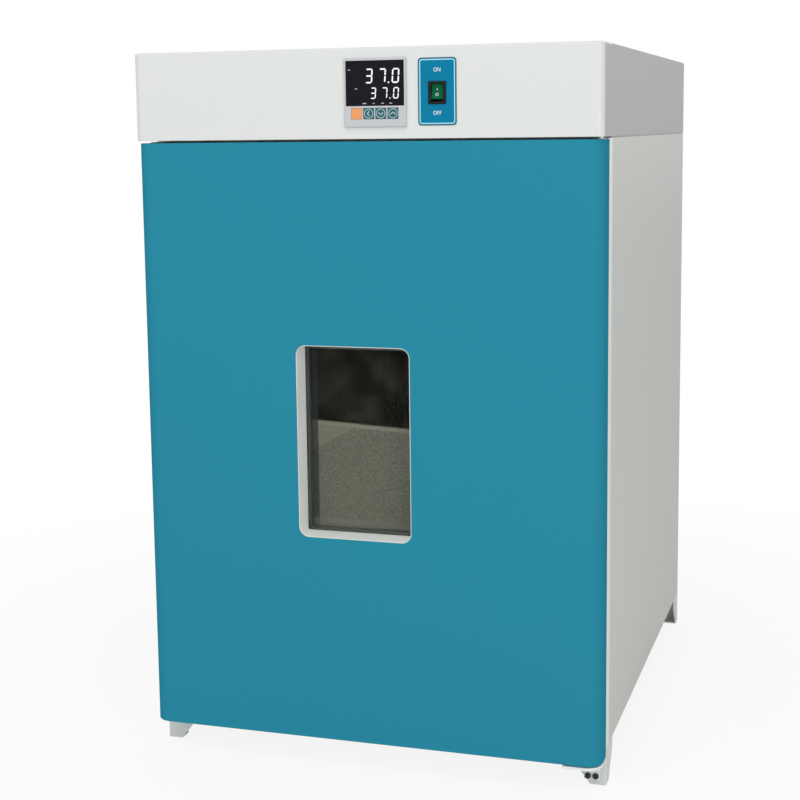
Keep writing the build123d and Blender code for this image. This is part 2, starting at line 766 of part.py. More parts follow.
def air_baffle():
    """The folded false wall in front of the fan, with its intake grille and outlet slots."""
    low = z_chamber + baffle_inset
    high = z_ceiling - baffle_inset
    s = liner_sheet
    half = baffle_width / 2
    wall = block(-half, half, y_baffle, y_liner_back, low, high)
    wall = fillet(wall.edges().group_by(Axis.Y)[0], 2 * s)
    wall -= block(-half + s, half - s, y_baffle + s, y_liner_back + 1, low + s, high - s)
    places = [(0, fan_z)]
    for ring in range(1, intake_rings + 1):
        count = 6 * ring
        for i in range(count):
            angle = radians(360 * i / count)
            places.append((ring * intake_pitch * cos(angle), fan_z + ring * intake_pitch * sin(angle)))
    hole = RegularPolygon(intake_hole, 6)
    cutters = [Plane(origin=(x, y_baffle - 1, z), z_dir=(0, 1, 0)) * extrude(hole, 3 * s) for x, z in places]
    rows = int((high - low - 80) // slot_pitch) + 1
    for side in (-1, 1):
        for row in range(rows):
            z = (low + high) / 2 + (row - (rows - 1) / 2) * slot_pitch
            x = side * (half - 40)
            half_w = slot_width / 2
            half_l = slot_length / 2
            cutters.append(block(x - half_w, x + half_w, y_baffle - 1, y_baffle + 2 * s, z - half_l, z + half_l))
    return wall - cutters


def impeller():
    """The centrifugal impeller: hub, backplate, curved blades and inlet ring."""
    back = y_liner_back - impeller_stand
    front = back - impeller_depth
    plate = Circle(impeller_radius) - Circle(shaft_radius)
    ring = Circle(impeller_radius) - Circle(impeller_radius - 20)
    hub = Circle(3 * shaft_radius) - Circle(shaft_radius)
    annulus = Circle(impeller_radius - 1) - Circle(impeller_eye)
    centre = Pos(0, blade_curve + 6)
    strip = (centre * Circle(blade_curve)) - (centre * Circle(blade_curve - impeller_sheet))
    blade = (strip & annulus).faces().sort_by(Axis.X)[-1]
    wheel = extrude(plate, impeller_sheet)
    wheel += extrude(hub, impeller_depth * 0.6)
    wheel += Pos(0, 0, impeller_depth - impeller_sheet) * extrude(ring, impeller_sheet)
    span = impeller_depth - impeller_sheet
    wheel += [Rot(Z=360 * i / impeller_blades) * extrude(blade, span) for i in range(impeller_blades)]
    return Pos(0, back, fan_z) * Rot(X=90) * wheel


def fan_shaft():
    """The motor's shaft, through the rear wall into the impeller's hub."""
    front = y_liner_back - impeller_stand - impeller_depth * 0.6 - 3
    back = y_bulkhead + outer_sheet + motor_length - 6
    return rod((0, front, fan_z), (0, back, fan_z), shaft_radius - 0.02)


def fan_motor():
    """The fan motor on the bulkhead: square flange, can and rear bearing boss."""
    y = y_bulkhead + outer_sheet
    half = motor_flange / 2
    flange = block(-half, half, y, y + motor_flange_sheet, fan_z - half, fan_z + half)
    flange = rounded(flange, Axis.Y, 10) - screw_holes(motor_screw_places())
    can = rod((0, y + motor_flange_sheet, fan_z), (0, y + motor_length, fan_z), motor_radius)
    can = chamfer(can.edges().filter_by(GeomType.CIRCLE).sort_by(Axis.Y)[-1], 4)
    boss = rod((0, y + motor_length, fan_z), (0, y + motor_length + 5, fan_z), 12)
    bore = rod((0, y - 1, fan_z), (0, y + motor_length - 5, fan_z), shaft_radius + shaft_clearance)
    return flange + can + boss - bore


def heater():
    """The tubular heater, one open turn round the impeller with both ends through the liner."""
    y = y_liner_back - heater_stand
    spread = degrees(asin(heater_lead_x / heater_radius))
    path = Pos(0, y, fan_z) * (Plane.XZ * CenterArc((0, 0), heater_radius, 90 + spread, 360 - 2 * spread))
    ring = sweep(Plane(origin=path @ 0, z_dir=path % 0) * Circle(heater_rod), path=path)
    for x, z in heater_leads():
        ring += rod((x, y, z), (x, y_liner_back + rear_wall / 2 - 2, z), heater_rod - slab_gap)
        ring += Pos(x, y, z) * Sphere(heater_rod)
    return ring


def temperature_probe():
    """The probe, in a collar on the chamber's right wall."""
    z = z_ceiling - probe_drop
    y = y_baffle - 70
    wall = chamber_width / 2
    collar = rod((wall, y, z), (wall - 6, y, z), probe_collar)
    stem = rod((wall - 6, y, z), (wall - probe_length, y, z), probe_radius)
    tip = chamfer(stem.edges().filter_by(GeomType.CIRCLE).sort_by(Axis.X)[0], probe_radius / 2)
    return collar + tip


# Shelves

def shelf_levels():
    """Heights of the shelves' rims."""
    count = int((chamber_height - first_shelf - shelf_headroom) // shelf_pitch) + 1
    return [z_chamber + first_shelf + i * shelf_pitch for i in range(count)]


def shelf_ends():
    """The front and rear of every shelf, along Y."""
    return y_frame + shelf_front_gap, y_baffle - shelf_back_gap


def pilaster_places():
    """The two places along Y where the pilasters stand."""
    front, back = shelf_ends()
    return front + pilaster_setback, back - pilaster_setback


def pilasters():
    """Four slotted uprights on the chamber's side walls."""
    wall = chamber_width / 2
    low = z_chamber + pilaster_inset
    high = z_ceiling - pilaster_inset
    s = liner_sheet
    bars = []
    for y in pilaster_places():
        half = pilaster_width / 2
        bar = block(wall - pilaster_depth, wall, y - half, y + half, low, high)
        bar -= block(wall - pilaster_depth + s, wall + 1, y - half + s, y + half - s, low - 1, high + 1)
        count = int((high - low - 30) // hook_pitch)
        slots = []
        for i in range(count):
            z = z_chamber + (first_shelf - hook_drop) % hook_pitch + i * hook_pitch
            if low + 12 < z < high - 12:
                slots.append(block(wall - pilaster_depth - 1, wall - s, y - 2.2, y + 2.2, z - 8, z + 8))
        bar -= slots
        bars += [bar, mirror(bar, about=Plane.YZ)]
    return group(bars)


def shelf_clips():
    """The clips that carry the shelves, four to a shelf."""
    face = chamber_width / 2 - pilaster_depth
    clips = []
    for level in shelf_levels():
        seat = level - shelf_rod
        s = clip_sheet
        reach = face - clip_reach
        outline = Polyline(
            (face, seat - clip_height), (face, seat + 3), (face - s, seat + 3), (face - s, seat), (reach + s, seat),
            (reach + s, seat + 4), (reach, seat + 4), (reach, seat - s), (face - s, seat - clip_height + 6))
        profile = make_face(outline + Line((face - s, seat - clip_height + 6), (face, seat - clip_height)))
        for y in pilaster_places():
            clip = Pos(0, y, 0) * extrude(Plane.XZ * profile, clip_width / 2, both=True)
            hook = level - hook_drop
            clip += block(face - 1, face + 4, y - 1.5, y + 1.5, hook - 4, hook + 4)
            clips += [clip, mirror(clip, about=Plane.YZ)]
    return group(clips)


def wire_shelf(index):
    """A welded wire shelf: a bent rim, two cross bars and the wires on top."""
    z = shelf_levels()[index]
    front, back = shelf_ends()
    half = chamber_width / 2 - pilaster_depth - clip_sheet - shelf_rod - 1.5
    middle = (front + back) / 2
    plane = Plane(origin=(0, middle, z))
    path = plane * RectangleRounded(2 * half, back - front, shelf_corner).wire()
    section = Plane(origin=path @ 0, z_dir=path % 0) * RegularPolygon(shelf_rod, 8)
    rim = sweep(section, path=path)
    count = int((2 * half - 2 * shelf_corner) // wire_pitch)
    top = z + shelf_rod + wire_rod - 1
    parts = []
    wire = extrude(RegularPolygon(wire_rod, 6), back - front)
    for i in range(count + 1):
        x = (i - count / 2) * wire_pitch
        parts.append(Plane(origin=(x, front, top), x_dir=(1, 0, 0), z_dir=(0, 1, 0)) * wire)
    for share in (-1, 1):
        y = middle + share * (back - front) / 5
        parts.append(rod((-half, y, z), (half, y, z), shelf_rod - 0.6))
    return rim + parts


# Door

def door_form(inset, y0, y1):
    """The door's plan, rolled at both front upright edges, drawn in by an inset."""
    x = half_width - inset
    form = block(-x, x, y0, y1, z_door + inset, z_door_top - inset)
    return fillet(form.edges().filter_by(Axis.Z).group_by(Axis.Y)[0], door_roll - inset)


def window_plate(grow, corner, y0, y1):
    """A plate over the window, larger than its opening all round by grow."""
    return front_plate(window_x, window_z, window_width + 2 * grow, window_height + 2 * grow, corner, y0, y1)


def grip_block(grow):
    """The grip pocket's outer block, larger all round by grow."""
    y0 = y_face + grip_front
    return block(
        -half_width - 1, -half_width + grip_depth + grip_wall + grow,
        y0 - grow, y0 + grip_width + 2 * grip_wall + grow,
        grip_z - grip_height / 2 - grip_wall - grow, grip_z + grip_height / 2 + grip_wall + grow)


def door_shell():
    """The rolled steel outer shell of the door, open at the back inside a folded lip."""
    shell = door_form(0, y_face, y_door_back)
    shell -= door_form(door_sheet, y_face + door_sheet, y_door_back - door_sheet)
    x = half_width - door_lip
    shell -= block(-x, x, y_face + 5, y_door_back + 1, z_door + door_lip, z_door_top - door_lip)
    shell -= window_plate(0, window_corner, y_face - 1, y_face + 2 * door_sheet)
    shell -= grip_block(0.2)
    for low, high in ((z_door - 1, z_door + 2 * door_sheet), (z_door_top - 2 * door_sheet, z_door_top + 1)):
        shell -= rod((pivot_x, pivot_y, low), (pivot_x, pivot_y, high), pin_radius + bush_wall + 0.05)
    return shell


def door_liner():
    """The white inner panel: a screwed rim, a gasket groove and a raised, tapered plug."""
    s = door_liner_sheet
    rim_x = half_width - door_lip + door_liner_overlap
    rim_low = z_door + door_lip - door_liner_overlap
    rim_high = z_door_top - door_lip + door_liner_overlap
    base = y_land - s
    panel = block(-rim_x, rim_x, base, y_liner_rim, rim_low, rim_high)
    groove_in = chamber_width / 2 + gasket_inset
    groove_out = groove_in + gasket_width
    grow_z = gasket_inset
    low, high = z_chamber - grow_z, z_ceiling + grow_z
    panel -= block(
        -groove_out, groove_out, y_land, y_liner_rim + 1, low - gasket_width, high + gasket_width)
    panel += plug(0, base)
    panel -= plug(s, base - 1)
    for x0, x1 in ((-rim_x - 1, -groove_out - s), (groove_out + s, rim_x + 1)):
        panel -= block(x0, x1, base - 1, y_liner_rim - s, rim_low - 1, rim_high + 1)
    for z0, z1 in ((rim_low - 1, low - gasket_width - s), (high + gasket_width + s, rim_high + 1)):
        panel -= block(-rim_x - 1, rim_x + 1, base - 1, y_liner_rim - s, z0, z1)
    return panel - window_plate(-reveal_taper, reveal_inner_corner, base - 2, y_plug + 1)


def plug(inset, y0):
    """The tapered plug of the door liner, drawn in by an inset."""
    wide = chamber_width - 2 * plug_inset - 2 * inset
    tall = chamber_height - 2 * plug_inset - 2 * inset
    foot_rect = RectangleRounded(wide, tall, chamber_corner)
    head_rect = RectangleRounded(wide - 2 * plug_taper, tall - 2 * plug_taper, chamber_corner)
    back = y_plug - inset
    foot_face = Plane(origin=(0, y0, z_middle), x_dir=(1, 0, 0), z_dir=(0, 1, 0)) * foot_rect
    head_face = Plane(origin=(0, back, z_middle), x_dir=(1, 0, 0), z_dir=(0, 1, 0)) * head_rect
    return loft([foot_face, head_face], ruled=True)


def door_insulation():
    """Four insulation slabs round the window."""
    y0 = y_face + door_sheet + slab_gap
    y1 = y_land - door_liner_sheet - slab_gap
    core = door_form(door_sheet + slab_gap, y0, y1)
    inner_x = chamber_width / 2 - plug_inset - plug_taper - door_liner_sheet - slab_gap
    inner_z = (chamber_height - chamber_width) / 2 + inner_x
    y1 = y_plug - door_liner_sheet - slab_gap
    core += front_plate(0, z_middle, 2 * inner_x, 2 * inner_z, chamber_corner, y0, y1)
    core -= grip_block(2 * slab_gap)
    corner = half_width - corner_plate_length - slab_gap
    for z0, z1 in ((z_door, z_door + pin_reach + 8), (z_door_top - pin_reach - 8, z_door_top)):
        core -= block(corner, half_width, y0 - 1, y_door_back, z0, z1)
    grow = reveal_flange + slab_gap
    x0 = window_x - window_width / 2 - grow
    x1 = window_x + window_width / 2 + grow
    z0 = window_z - window_height / 2 - grow
    z1 = window_z + window_height / 2 + grow
    far = half_width
    regions = [(-far, x0, z_door, z_door_top), (x1, far, z_door, z_door_top)]
    regions += [(x0 + slab_gap, x1 - slab_gap, z_door, z0), (x0 + slab_gap, x1 - slab_gap, z1, z_door_top)]
    return group(core & block(a, b, y0 - 1, y1 + 1, c, d) for a, b, c, d in regions)


def window_reveal():
    """The white drafted reveal: round-cornered at the door's face, nearly square at the glass."""
    y0, y1 = y_face, y_outer_glass
    plane = Plane(origin=(window_x, y0, window_z), x_dir=(1, 0, 0), z_dir=(0, 1, 0))
    deep = Plane(origin=(window_x, y1, window_z), x_dir=(1, 0, 0), z_dir=(0, 1, 0))
    t = 2 * reveal_taper
    w = reveal_wall
    mouth = plane * RectangleRounded(window_width - 0.4, window_height - 0.4, window_corner)
    throat = deep * RectangleRounded(window_width - t, window_height - t, reveal_inner_corner)
    outer_start = Plane(origin=(window_x, y_face + door_sheet, window_z), x_dir=(1, 0, 0), z_dir=(0, 1, 0))
    body = outer_start * RectangleRounded(window_width + 2 * w, window_height + 2 * w, window_corner + w)
    shell = extrude(body, reveal_depth - door_sheet)
    shell += extrude(mouth, door_sheet + 0.2)
    flange = window_plate(reveal_flange, window_corner, y_face + door_sheet, y_face + door_sheet + w)
    shell += flange
    return shell - loft([mouth_inner(plane), throat], ruled=True)


def mouth_inner(plane):
    """The reveal's clear opening at the door's face."""
    return plane * RectangleRounded(window_width - 2.4, window_height - 2.4, window_corner - 1)


def glass_pane(y0):
    """One pane of the window."""
    grow = pane_overlap - reveal_taper
    return window_plate(grow, 4, y0 + 0.1, y0 + pane - 0.1)


def glass_spacer():
    """The dark spacer frame between the panes."""
    grow = pane_overlap - reveal_taper
    y0 = y_outer_glass + pane
    ring = window_plate(grow, 4, y0, y0 + pane_gap)
    return ring - window_plate(-reveal_taper - 4, 3, y0 - 1, y0 + pane_gap + 1)


def glass_seal():
    """The rubber frame that holds the glass pack against the door liner."""
    grow = pane_overlap - reveal_taper
    y0 = y_inner_glass + pane
    y1 = y_plug - door_liner_sheet
    ring = window_plate(grow, 4, y0, y1)
    return ring - window_plate(-reveal_taper - 1, 3, y0 - 1, y1 + 1)


def door_grip():
    """The moulded pocket in the door's free edge, trimmed flush with the rolled corner."""
    cup = grip_block(0) & door_form(0, y_face, y_door_back)
    y0 = y_face + grip_front + grip_wall
    hollow = block(
        -half_width - 2, -half_width + grip_depth, y0, y0 + grip_width,
        grip_z - grip_height / 2, grip_z + grip_height / 2)
    return cup - rounded(hollow, Axis.X, 6)


def gasket():
    """The magnetic gasket: a soft frame in the door liner's groove."""
    inner_x = chamber_width / 2 + gasket_inset + 3
    outer_x = inner_x + gasket_width - 6
    z0, z1 = z_chamber - gasket_inset - 3, z_ceiling + gasket_inset + 3
    span = gasket_width - 6
    y0, y1 = y_land, y_frame - gasket_clearance
    ring = block(-outer_x, outer_x, y0, y1, z0 - span, z1 + span)
    ring = rounded(ring, Axis.Y, 8)
    opening = rounded(block(-inner_x, inner_x, y0 - 1, y1 + 1, z0, z1), Axis.Y, 4)
    ring = ring - opening
    return chamfer(ring.edges().group_by(Axis.Y)[-1], 2)


def hinge_bush(upper):
    """A flanged nylon bush in the door's top or bottom skin."""
    r = pin_radius + pin_clearance
    edge = z_door_top if upper else z_door
    inward = -1 if upper else 1
    f = bush_flange_thickness
    flange = rod((pivot_x, pivot_y, edge), (pivot_x, pivot_y, edge - inward * f), bush_flange - 1.5)
    sleeve = rod((pivot_x, pivot_y, edge), (pivot_x, pivot_y, edge + inward * (pin_reach + 4)), pin_radius + bush_wall)
    reach = edge + inward * (pin_reach + 1)
    return flange + sleeve - rod((pivot_x, pivot_y, edge - inward * 2 * f), (pivot_x, pivot_y, reach), r)


def door_corner_plates():
    """The two steel plates inside the door's hinge corners that the bushes sit in."""
    s = door_sheet
    form = door_form(s, y_face + s, y_door_back - s)
    plates = []
    for z0 in (z_door + s, z_door_top - s - corner_plate):
        z1 = z0 + corner_plate
        plate = form & block(half_width - corner_plate_length, half_width, y_face, y_door_back, z0, z1)
        plates.append(plate - rod((pivot_x, pivot_y, z0 - 1), (pivot_x, pivot_y, z1 + 1), pin_radius + bush_wall))
    return group(plates)


def hinge_bolt_places():
    """The two bolts of the lower hinge's flange."""
    z = z_plate_top - hinge_plate - hinge_plate_drop + hinge_bolt_rise
    middle = half_width - hinge_flange_inset - hinge_flange_width / 2
    return [(middle - hinge_bolt_pitch / 2, z), (middle + hinge_bolt_pitch / 2, z)]


def lower_hinge():
    """The white lower hinge plate, rounded like the door above it, with a bolted flange."""
    z1 = z_plate_top
    z0 = z1 - hinge_plate
    x1 = half_width
    x0 = x1 - hinge_plate_length
    plate = block(x0, x1, y_face, y_frame, z0, z1)
    corner = plate.edges().filter_by(Axis.Z).group_by(Axis.Y)[0].sort_by(Axis.X)[-1]
    plate = fillet(corner, door_roll)
    right = x1 - hinge_flange_inset
    left = right - hinge_flange_width
    plate += block(left, right, y_frame - hinge_plate, y_frame, z0 - hinge_plate_drop, z0)
    plate -= [rod((x, y_frame - 2 * hinge_plate, z), (x, y_frame + 1, z), bolt_hole) for x, z in hinge_bolt_places()]
    bend = plate.edges().filter_by(Axis.X).group_by(Axis.Z)[-1].group_by(Axis.Y)[-1]
    plate = fillet(bend, hinge_plate - 0.5)
    return plate - rod((pivot_x, pivot_y, z0 - 1), (pivot_x, pivot_y, z1 + 1), pin_radius - 0.5)


def lower_pin():
    """The lower hinge pin, pressed into the plate."""
    z0 = z_plate_top - hinge_plate
    shank = rod((pivot_x, pivot_y, z0), (pivot_x, pivot_y, z_plate_top), pin_radius - 0.5)
    pin = rod((pivot_x, pivot_y, z_plate_top), (pivot_x, pivot_y, z_door + pin_reach), pin_radius)
    head = rod((pivot_x, pivot_y, z0), (pivot_x, pivot_y, z0 - 3), pin_radius + 2)
    return shank + chamfer(pin.edges().filter_by(GeomType.CIRCLE).sort_by(Axis.Z)[-1], 0.8) + head


def upper_hinge():
    """The upper hinge bracket inside the header, lying on the fascia's floor."""
    z0 = z_header + frame_sheet
    z1 = z0 + upper_bracket_sheet
    x1 = half_width - frame_sheet - slab_gap
    x0 = x1 - upper_bracket_width
    bracket = block(x0, x1, pivot_y - 14, y_side - cover_joint, z0, z1)
    bracket = fillet(bracket.edges().filter_by(Axis.Z).group_by(Axis.Y)[0], 6)
    return bracket - rod((pivot_x, pivot_y, z0 - 1), (pivot_x, pivot_y, z1 + 1), pin_radius - 0.5)


def upper_pin():
    """The upper hinge pin, pressed into its bracket."""
    z0 = z_header + frame_sheet
    z1 = z0 + upper_bracket_sheet
    shank = rod((pivot_x, pivot_y, z0), (pivot_x, pivot_y, z1), pin_radius - 0.5)
    pin = rod((pivot_x, pivot_y, z0), (pivot_x, pivot_y, z_door_top - pin_reach), pin_radius)
    head = rod((pivot_x, pivot_y, z1), (pivot_x, pivot_y, z1 + 3), pin_radius + 2)
    return shank + chamfer(pin.edges().filter_by(GeomType.CIRCLE).sort_by(Axis.Z)[0], 0.8) + head


def panel_screws():
    """The identical pan-head screws of the rear panel, the mains inlet and the fan motor."""
    places = rear_screw_places() + inlet_screw_places() + motor_screw_places()
    return group(screw_y(x, y, z) for x, y, z in places)


def hex_bolt(x, y, z, direction, grip):
    """A hexagon bolt whose head lies against a face at this point; the shank runs along direction."""
    plane = Plane(origin=(x, y, z), z_dir=direction)
    head = plane * extrude(RegularPolygon(bolt_head, 6), -3.5)
    shank = plane * extrude(Circle(bolt_shank), grip)
    return head + shank


def hex_bolts():
    """The identical hexagon bolts of the feet and of the lower hinge's flange."""
    z = foot_height - foot_sheet
    bolts = [hex_bolt(x, y, z, (0, 0, 1), foot_sheet + frame_sheet) for x, y in foot_bolt_places()]
    for x, z in hinge_bolt_places():
        bolts.append(hex_bolt(x, y_frame - hinge_plate, z, (0, 1, 0), hinge_plate + foot_sheet))
    return group(bolts)


def build_parts():
    """Every piece by name."""
    pieces = {
        "side_panel_left": side_panel(-1),
        "side_panel_right": side_panel(1),
        "front_frame": front_frame(),
        "base_pan": base_pan(),
        "deck": deck(),
        "rear_panel": rear_panel(),
        "bulkhead": bulkhead(),
        "insulation": insulation(),
        "inner_chamber": inner_chamber(),
        "air_baffle": air_baffle(),
        "heater": heater(),
        "temperature_probe": temperature_probe(),
        "fan_motor": fan_motor(),
        "fan_shaft": fan_shaft(),
        "impeller": impeller(),
        "pilasters": pilasters(),
        "shelf_clips": shelf_clips(),
        "foot_front_left": foot(-1, -1),
        "foot_front_right": foot(1, -1),
        "foot_rear_left": foot(-1, 1),
        "foot_rear_right": foot(1, 1),
        "header_fascia": header_fascia(),
        "header_cover": header_cover(),
        "header_joint_strip": header_joint_strip(),
        "mains_inlet": mains_inlet(),
        "panel_screws": panel_screws(),
        "fuse_holder": fuse_holder(),
        "control_board": control_board(),
        "heater_relay": heater_relay(),
        "controller_case": controller_case(),
        "controller_bezel": controller_bezel(),
        "display_window": display_window(),
        "switch_plate": switch_plate(),
        "switch_housing": switch_housing(),
        "rocker": rocker(),
        "door_shell": door_shell(),
        "door_liner": door_liner(),
        "door_insulation": door_insulation(),
        "window_reveal": window_reveal(),
        "outer_glass": glass_pane(y_outer_glass),
        "inner_glass": glass_pane(y_inner_glass),
        "glass_spacer": glass_spacer(),
        "glass_seal": glass_seal(),
        "door_grip": door_grip(),
        "gasket": gasket(),
        "door_corner_plates": door_corner_plates(),
        "upper_bush": hinge_bush(True),
        "lower_bush": hinge_bush(False),
        "upper_hinge": upper_hinge(),
        "upper_pin": upper_pin(),
        "lower_hinge": lower_hinge(),
        "lower_pin": lower_pin(),
        "hex_bolts": hex_bolts(),
    }
    for index in range(len(shelf_levels())):
        pieces[f"wire_shelf_{index + 1}"] = wire_shelf(index)
    return pieces


def main():
    os.makedirs("parts", exist_ok=True)
    pieces = build_parts()
    for index, name in enumerate(("set_key", "shift_key", "down_key", "up_key")):
        pieces[name] = controller_key(index)
    for name, piece in pieces.items():
        export_step(piece, f"parts/{name}.step")


main()
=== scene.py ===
"""Looks of a laboratory incubator: a white cabinet with a teal door, a window and a digital header."""

import json
import math

import bmesh
import bpy
from bpy.props import FloatProperty, FloatVectorProperty, PointerProperty
from mathutils import Matrix, Vector

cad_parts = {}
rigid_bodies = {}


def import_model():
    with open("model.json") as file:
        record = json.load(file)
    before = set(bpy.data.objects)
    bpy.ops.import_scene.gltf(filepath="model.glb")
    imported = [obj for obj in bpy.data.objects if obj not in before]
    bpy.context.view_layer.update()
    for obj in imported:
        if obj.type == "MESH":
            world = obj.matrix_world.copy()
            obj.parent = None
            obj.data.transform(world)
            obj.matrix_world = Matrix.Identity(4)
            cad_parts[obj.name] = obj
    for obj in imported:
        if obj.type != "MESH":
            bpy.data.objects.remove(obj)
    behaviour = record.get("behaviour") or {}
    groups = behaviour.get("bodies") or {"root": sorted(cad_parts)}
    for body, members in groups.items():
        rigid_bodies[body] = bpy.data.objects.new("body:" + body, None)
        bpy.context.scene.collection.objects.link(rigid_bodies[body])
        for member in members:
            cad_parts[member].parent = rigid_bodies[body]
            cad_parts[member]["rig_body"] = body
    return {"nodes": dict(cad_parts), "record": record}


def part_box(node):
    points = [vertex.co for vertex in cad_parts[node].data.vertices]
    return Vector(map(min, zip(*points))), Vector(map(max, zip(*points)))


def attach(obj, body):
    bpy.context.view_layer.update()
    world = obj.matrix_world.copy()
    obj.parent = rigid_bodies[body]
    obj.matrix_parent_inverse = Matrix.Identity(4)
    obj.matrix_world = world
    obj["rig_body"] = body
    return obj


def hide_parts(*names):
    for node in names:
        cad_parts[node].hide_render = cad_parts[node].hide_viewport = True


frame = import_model()

bl_info = {
    "name": "Laboratory incubator",
    "version": (1, 0, 0),
    "blender": (4, 5, 0),
    "location": "3D View > Sidebar > Incubator",
    "description": "Builds the looks of a laboratory incubator round its packed frame",
    "category": "Object",
}

MM = 0.001
NEAR = 0.01 * MM    # points closer than this share one place
FINISHES = {}       # every material by name, filled by the first operator


def srgb(code):
    """The linear colour of a six-digit sRGB hex code."""
    shares = [int(code[i:i + 2], 16) / 255 for i in (0, 2, 4)]
    return tuple(s / 12.92 if s <= 0.04045 else ((s + 0.055) / 1.055) ** 2.4 for s in shares)


def length(name, description, default):
    """A size in metres that the user can change."""
    return FloatProperty(name=name, description=description, default=default, min=0.0, unit="LENGTH")


def power(name, description, default):
    """A lamp's power in watts that the user can change."""
    return FloatProperty(name=name, description=description, default=default, min=0.0, unit="POWER")


def paint(name, description, code):
    """A colour that the user can change, given as a hex code."""
    return FloatVectorProperty(
        name=name, description=description, default=srgb(code), min=0.0, max=1.0, size=3, subtype="COLOR")


# Sizes and colours that a user may change

class DoorSizes(bpy.types.PropertyGroup):
    roll: length("Edge roll", "Radius of the door's rolled upright edges", 25 * MM)
    fold: length("Fold", "Radius of the door's top and bottom edges", 1.4 * MM)
    lip: length("Lip", "Folded return round the back of the door", 14 * MM)
    sheet: length("Sheet", "Thickness of the door's steel", 1.2 * MM)
    window_corner: length("Window corner", "Corner radius of the window's cut", 16 * MM)


class HeaderSizes(bpy.types.PropertyGroup):
    corner: length("Corner", "Radius of the fascia's upright edges", 12 * MM)
    edge: length("Top edge", "Radius of the fascia's top edge", 3 * MM)
    sheet: length("Sheet", "Thickness of the fascia's steel", 1.5 * MM)


class ControlSizes(bpy.types.PropertyGroup):
    digit_height: length("Upper digits", "Height of the upper row of digits", 21.5 * MM)
    lower_height: length("Lower digits", "Height of the lower row of digits", 16.5 * MM)
    stroke: length("Segment", "Width of a digit's segment", 2.2 * MM)
    slant: FloatProperty(
        name="Slant", description="Lean of the digits to the right", default=math.radians(4), unit="ROTATION")
    key_edge: length("Key edge", "Rounding of the keys' front edges", 1.1 * MM)
    ink: length("Ink", "Thickness of printed marks", 0.06 * MM)
    plate_line: length("Plate line", "Width of the pale line round the switch plate", 1.5 * MM)
    word_height: length("Word height", "Height of the words on the switch plate", 8.4 * MM)
    word_squeeze: FloatProperty(
        name="Word squeeze", description="Width of the words' letters as a share of the usual", default=0.8,
        min=0.1)


class ShelfSizes(bpy.types.PropertyGroup):
    rim: length("Rim", "Radius of the shelf's rim", 3.5 * MM)
    wire: length("Wire", "Radius of the shelf's wires", 2.0 * MM)
    pitch: length("Pitch", "Distance between the wires", 27 * MM)
    corner: length("Corner", "Bend radius of the rim's corners", 24 * MM)


class Colours(bpy.types.PropertyGroup):
    trim: paint("Front frame", "Powder coat of the front frame, window surround and hinge", "F3F6F2")
    header: paint("Header front", "Powder coat of the header's front cap", "E1E4E2")
    cabinet: paint("Cabinet", "Powder coat of the side and rear panels", "D2D4D0")
    # The cover's grey is painted shade, darker than the panels below.
    hood: paint("Header cover", "Powder coat of the header's cover", "AEB0AC")
    door: paint("Door", "Powder coat of the door", "2D8DA6")
    plate: paint("Switch plate", "Printed plate behind the switch", "007DA4")
    rocker: paint("Rocker", "Lit rocker of the switch", "06603A")
    set_key: paint("First key", "The orange key", "F09C5C")
    arrow_key: paint("Arrow keys", "The three teal keys", "1C5661")


class StageSizes(bpy.types.PropertyGroup):
    floor: length("Floor", "Side of the square floor", 60.0)
    key_power: power("Key light", "Power of the large lamp at the front left", 34.0)
    top_power: power("Top light", "Power of the lamp above the front", 46.0)
    side_power: power("Side light", "Power of the lamp low at the front right", 30.0)
    fill: FloatProperty(
        name="Fill light", description="Strength of the light from all round", default=0.52, min=0.0,
        subtype="FACTOR")


SETTINGS = {
    "incubator_door": DoorSizes,
    "incubator_header": HeaderSizes,
    "incubator_controls": ControlSizes,
    "incubator_shelves": ShelfSizes,
    "incubator_colours": Colours,
    "incubator_stage": StageSizes,
}


# Modelling steps

def alone(piece):
    """Selects one object and makes it the active one."""
    bpy.ops.object.select_all(action="DESELECT")
    piece.select_set(True)
    bpy.context.view_layer.objects.active = piece
    return piece


def settle(piece, name):
    """Moves a new object's place, turn and size into its mesh and names it."""
    alone(piece)
    bpy.ops.object.transform_apply(location=True, rotation=True, scale=True)
    piece.name = name
    piece.data.name = name
    return piece


def block(name, low, high):
    """A box between two corners."""
    bpy.ops.object.select_all(action="DESELECT")
    low, high = Vector(low), Vector(high)
    bpy.ops.mesh.primitive_cube_add(size=1, location=(low + high) / 2, scale=high - low)
    return settle(bpy.context.object, name)


def upright_bar(name, centre, radius, depth):
    """An upright round bar about its centre."""
    bpy.ops.object.select_all(action="DESELECT")
    bpy.ops.mesh.primitive_cylinder_add(vertices=32, radius=radius, depth=depth, location=centre)
    return settle(bpy.context.object, name)


def choose(piece, kind, test):
    """Goes into edit mode with only the vertices, edges or faces that pass the test selected."""
    alone(piece)
    bpy.ops.object.mode_set(mode="EDIT")
    bpy.ops.mesh.select_mode(type=kind)
    bpy.ops.mesh.select_all(action="DESELECT")
    mesh = bmesh.from_edit_mesh(piece.data)
    for item in {"VERT": mesh.verts, "EDGE": mesh.edges, "FACE": mesh.faces}[kind]:
        if test(item):
            item.select_set(True)
    bmesh.update_edit_mesh(piece.data)


def done():
    """Leaves edit mode with the normals pointing outwards."""
    bpy.ops.mesh.select_all(action="SELECT")
    bpy.ops.mesh.normals_make_consistent(inside=False)
    bpy.ops.object.mode_set(mode="OBJECT")


def round_edges(piece, test, radius, segments):
    """Rounds the edges that pass the test."""
    choose(piece, "EDGE", test)
    bpy.ops.mesh.bevel(offset=radius, segments=segments, affect="EDGES")
    done()


def upright_at(y):
    """A test for upright edges at one depth."""
    def test(edge):
        first, second = edge.verts
        return abs(first.co.z - second.co.z) > NEAR and all(abs(v.co.y - y) < NEAR for v in edge.verts)
    return test


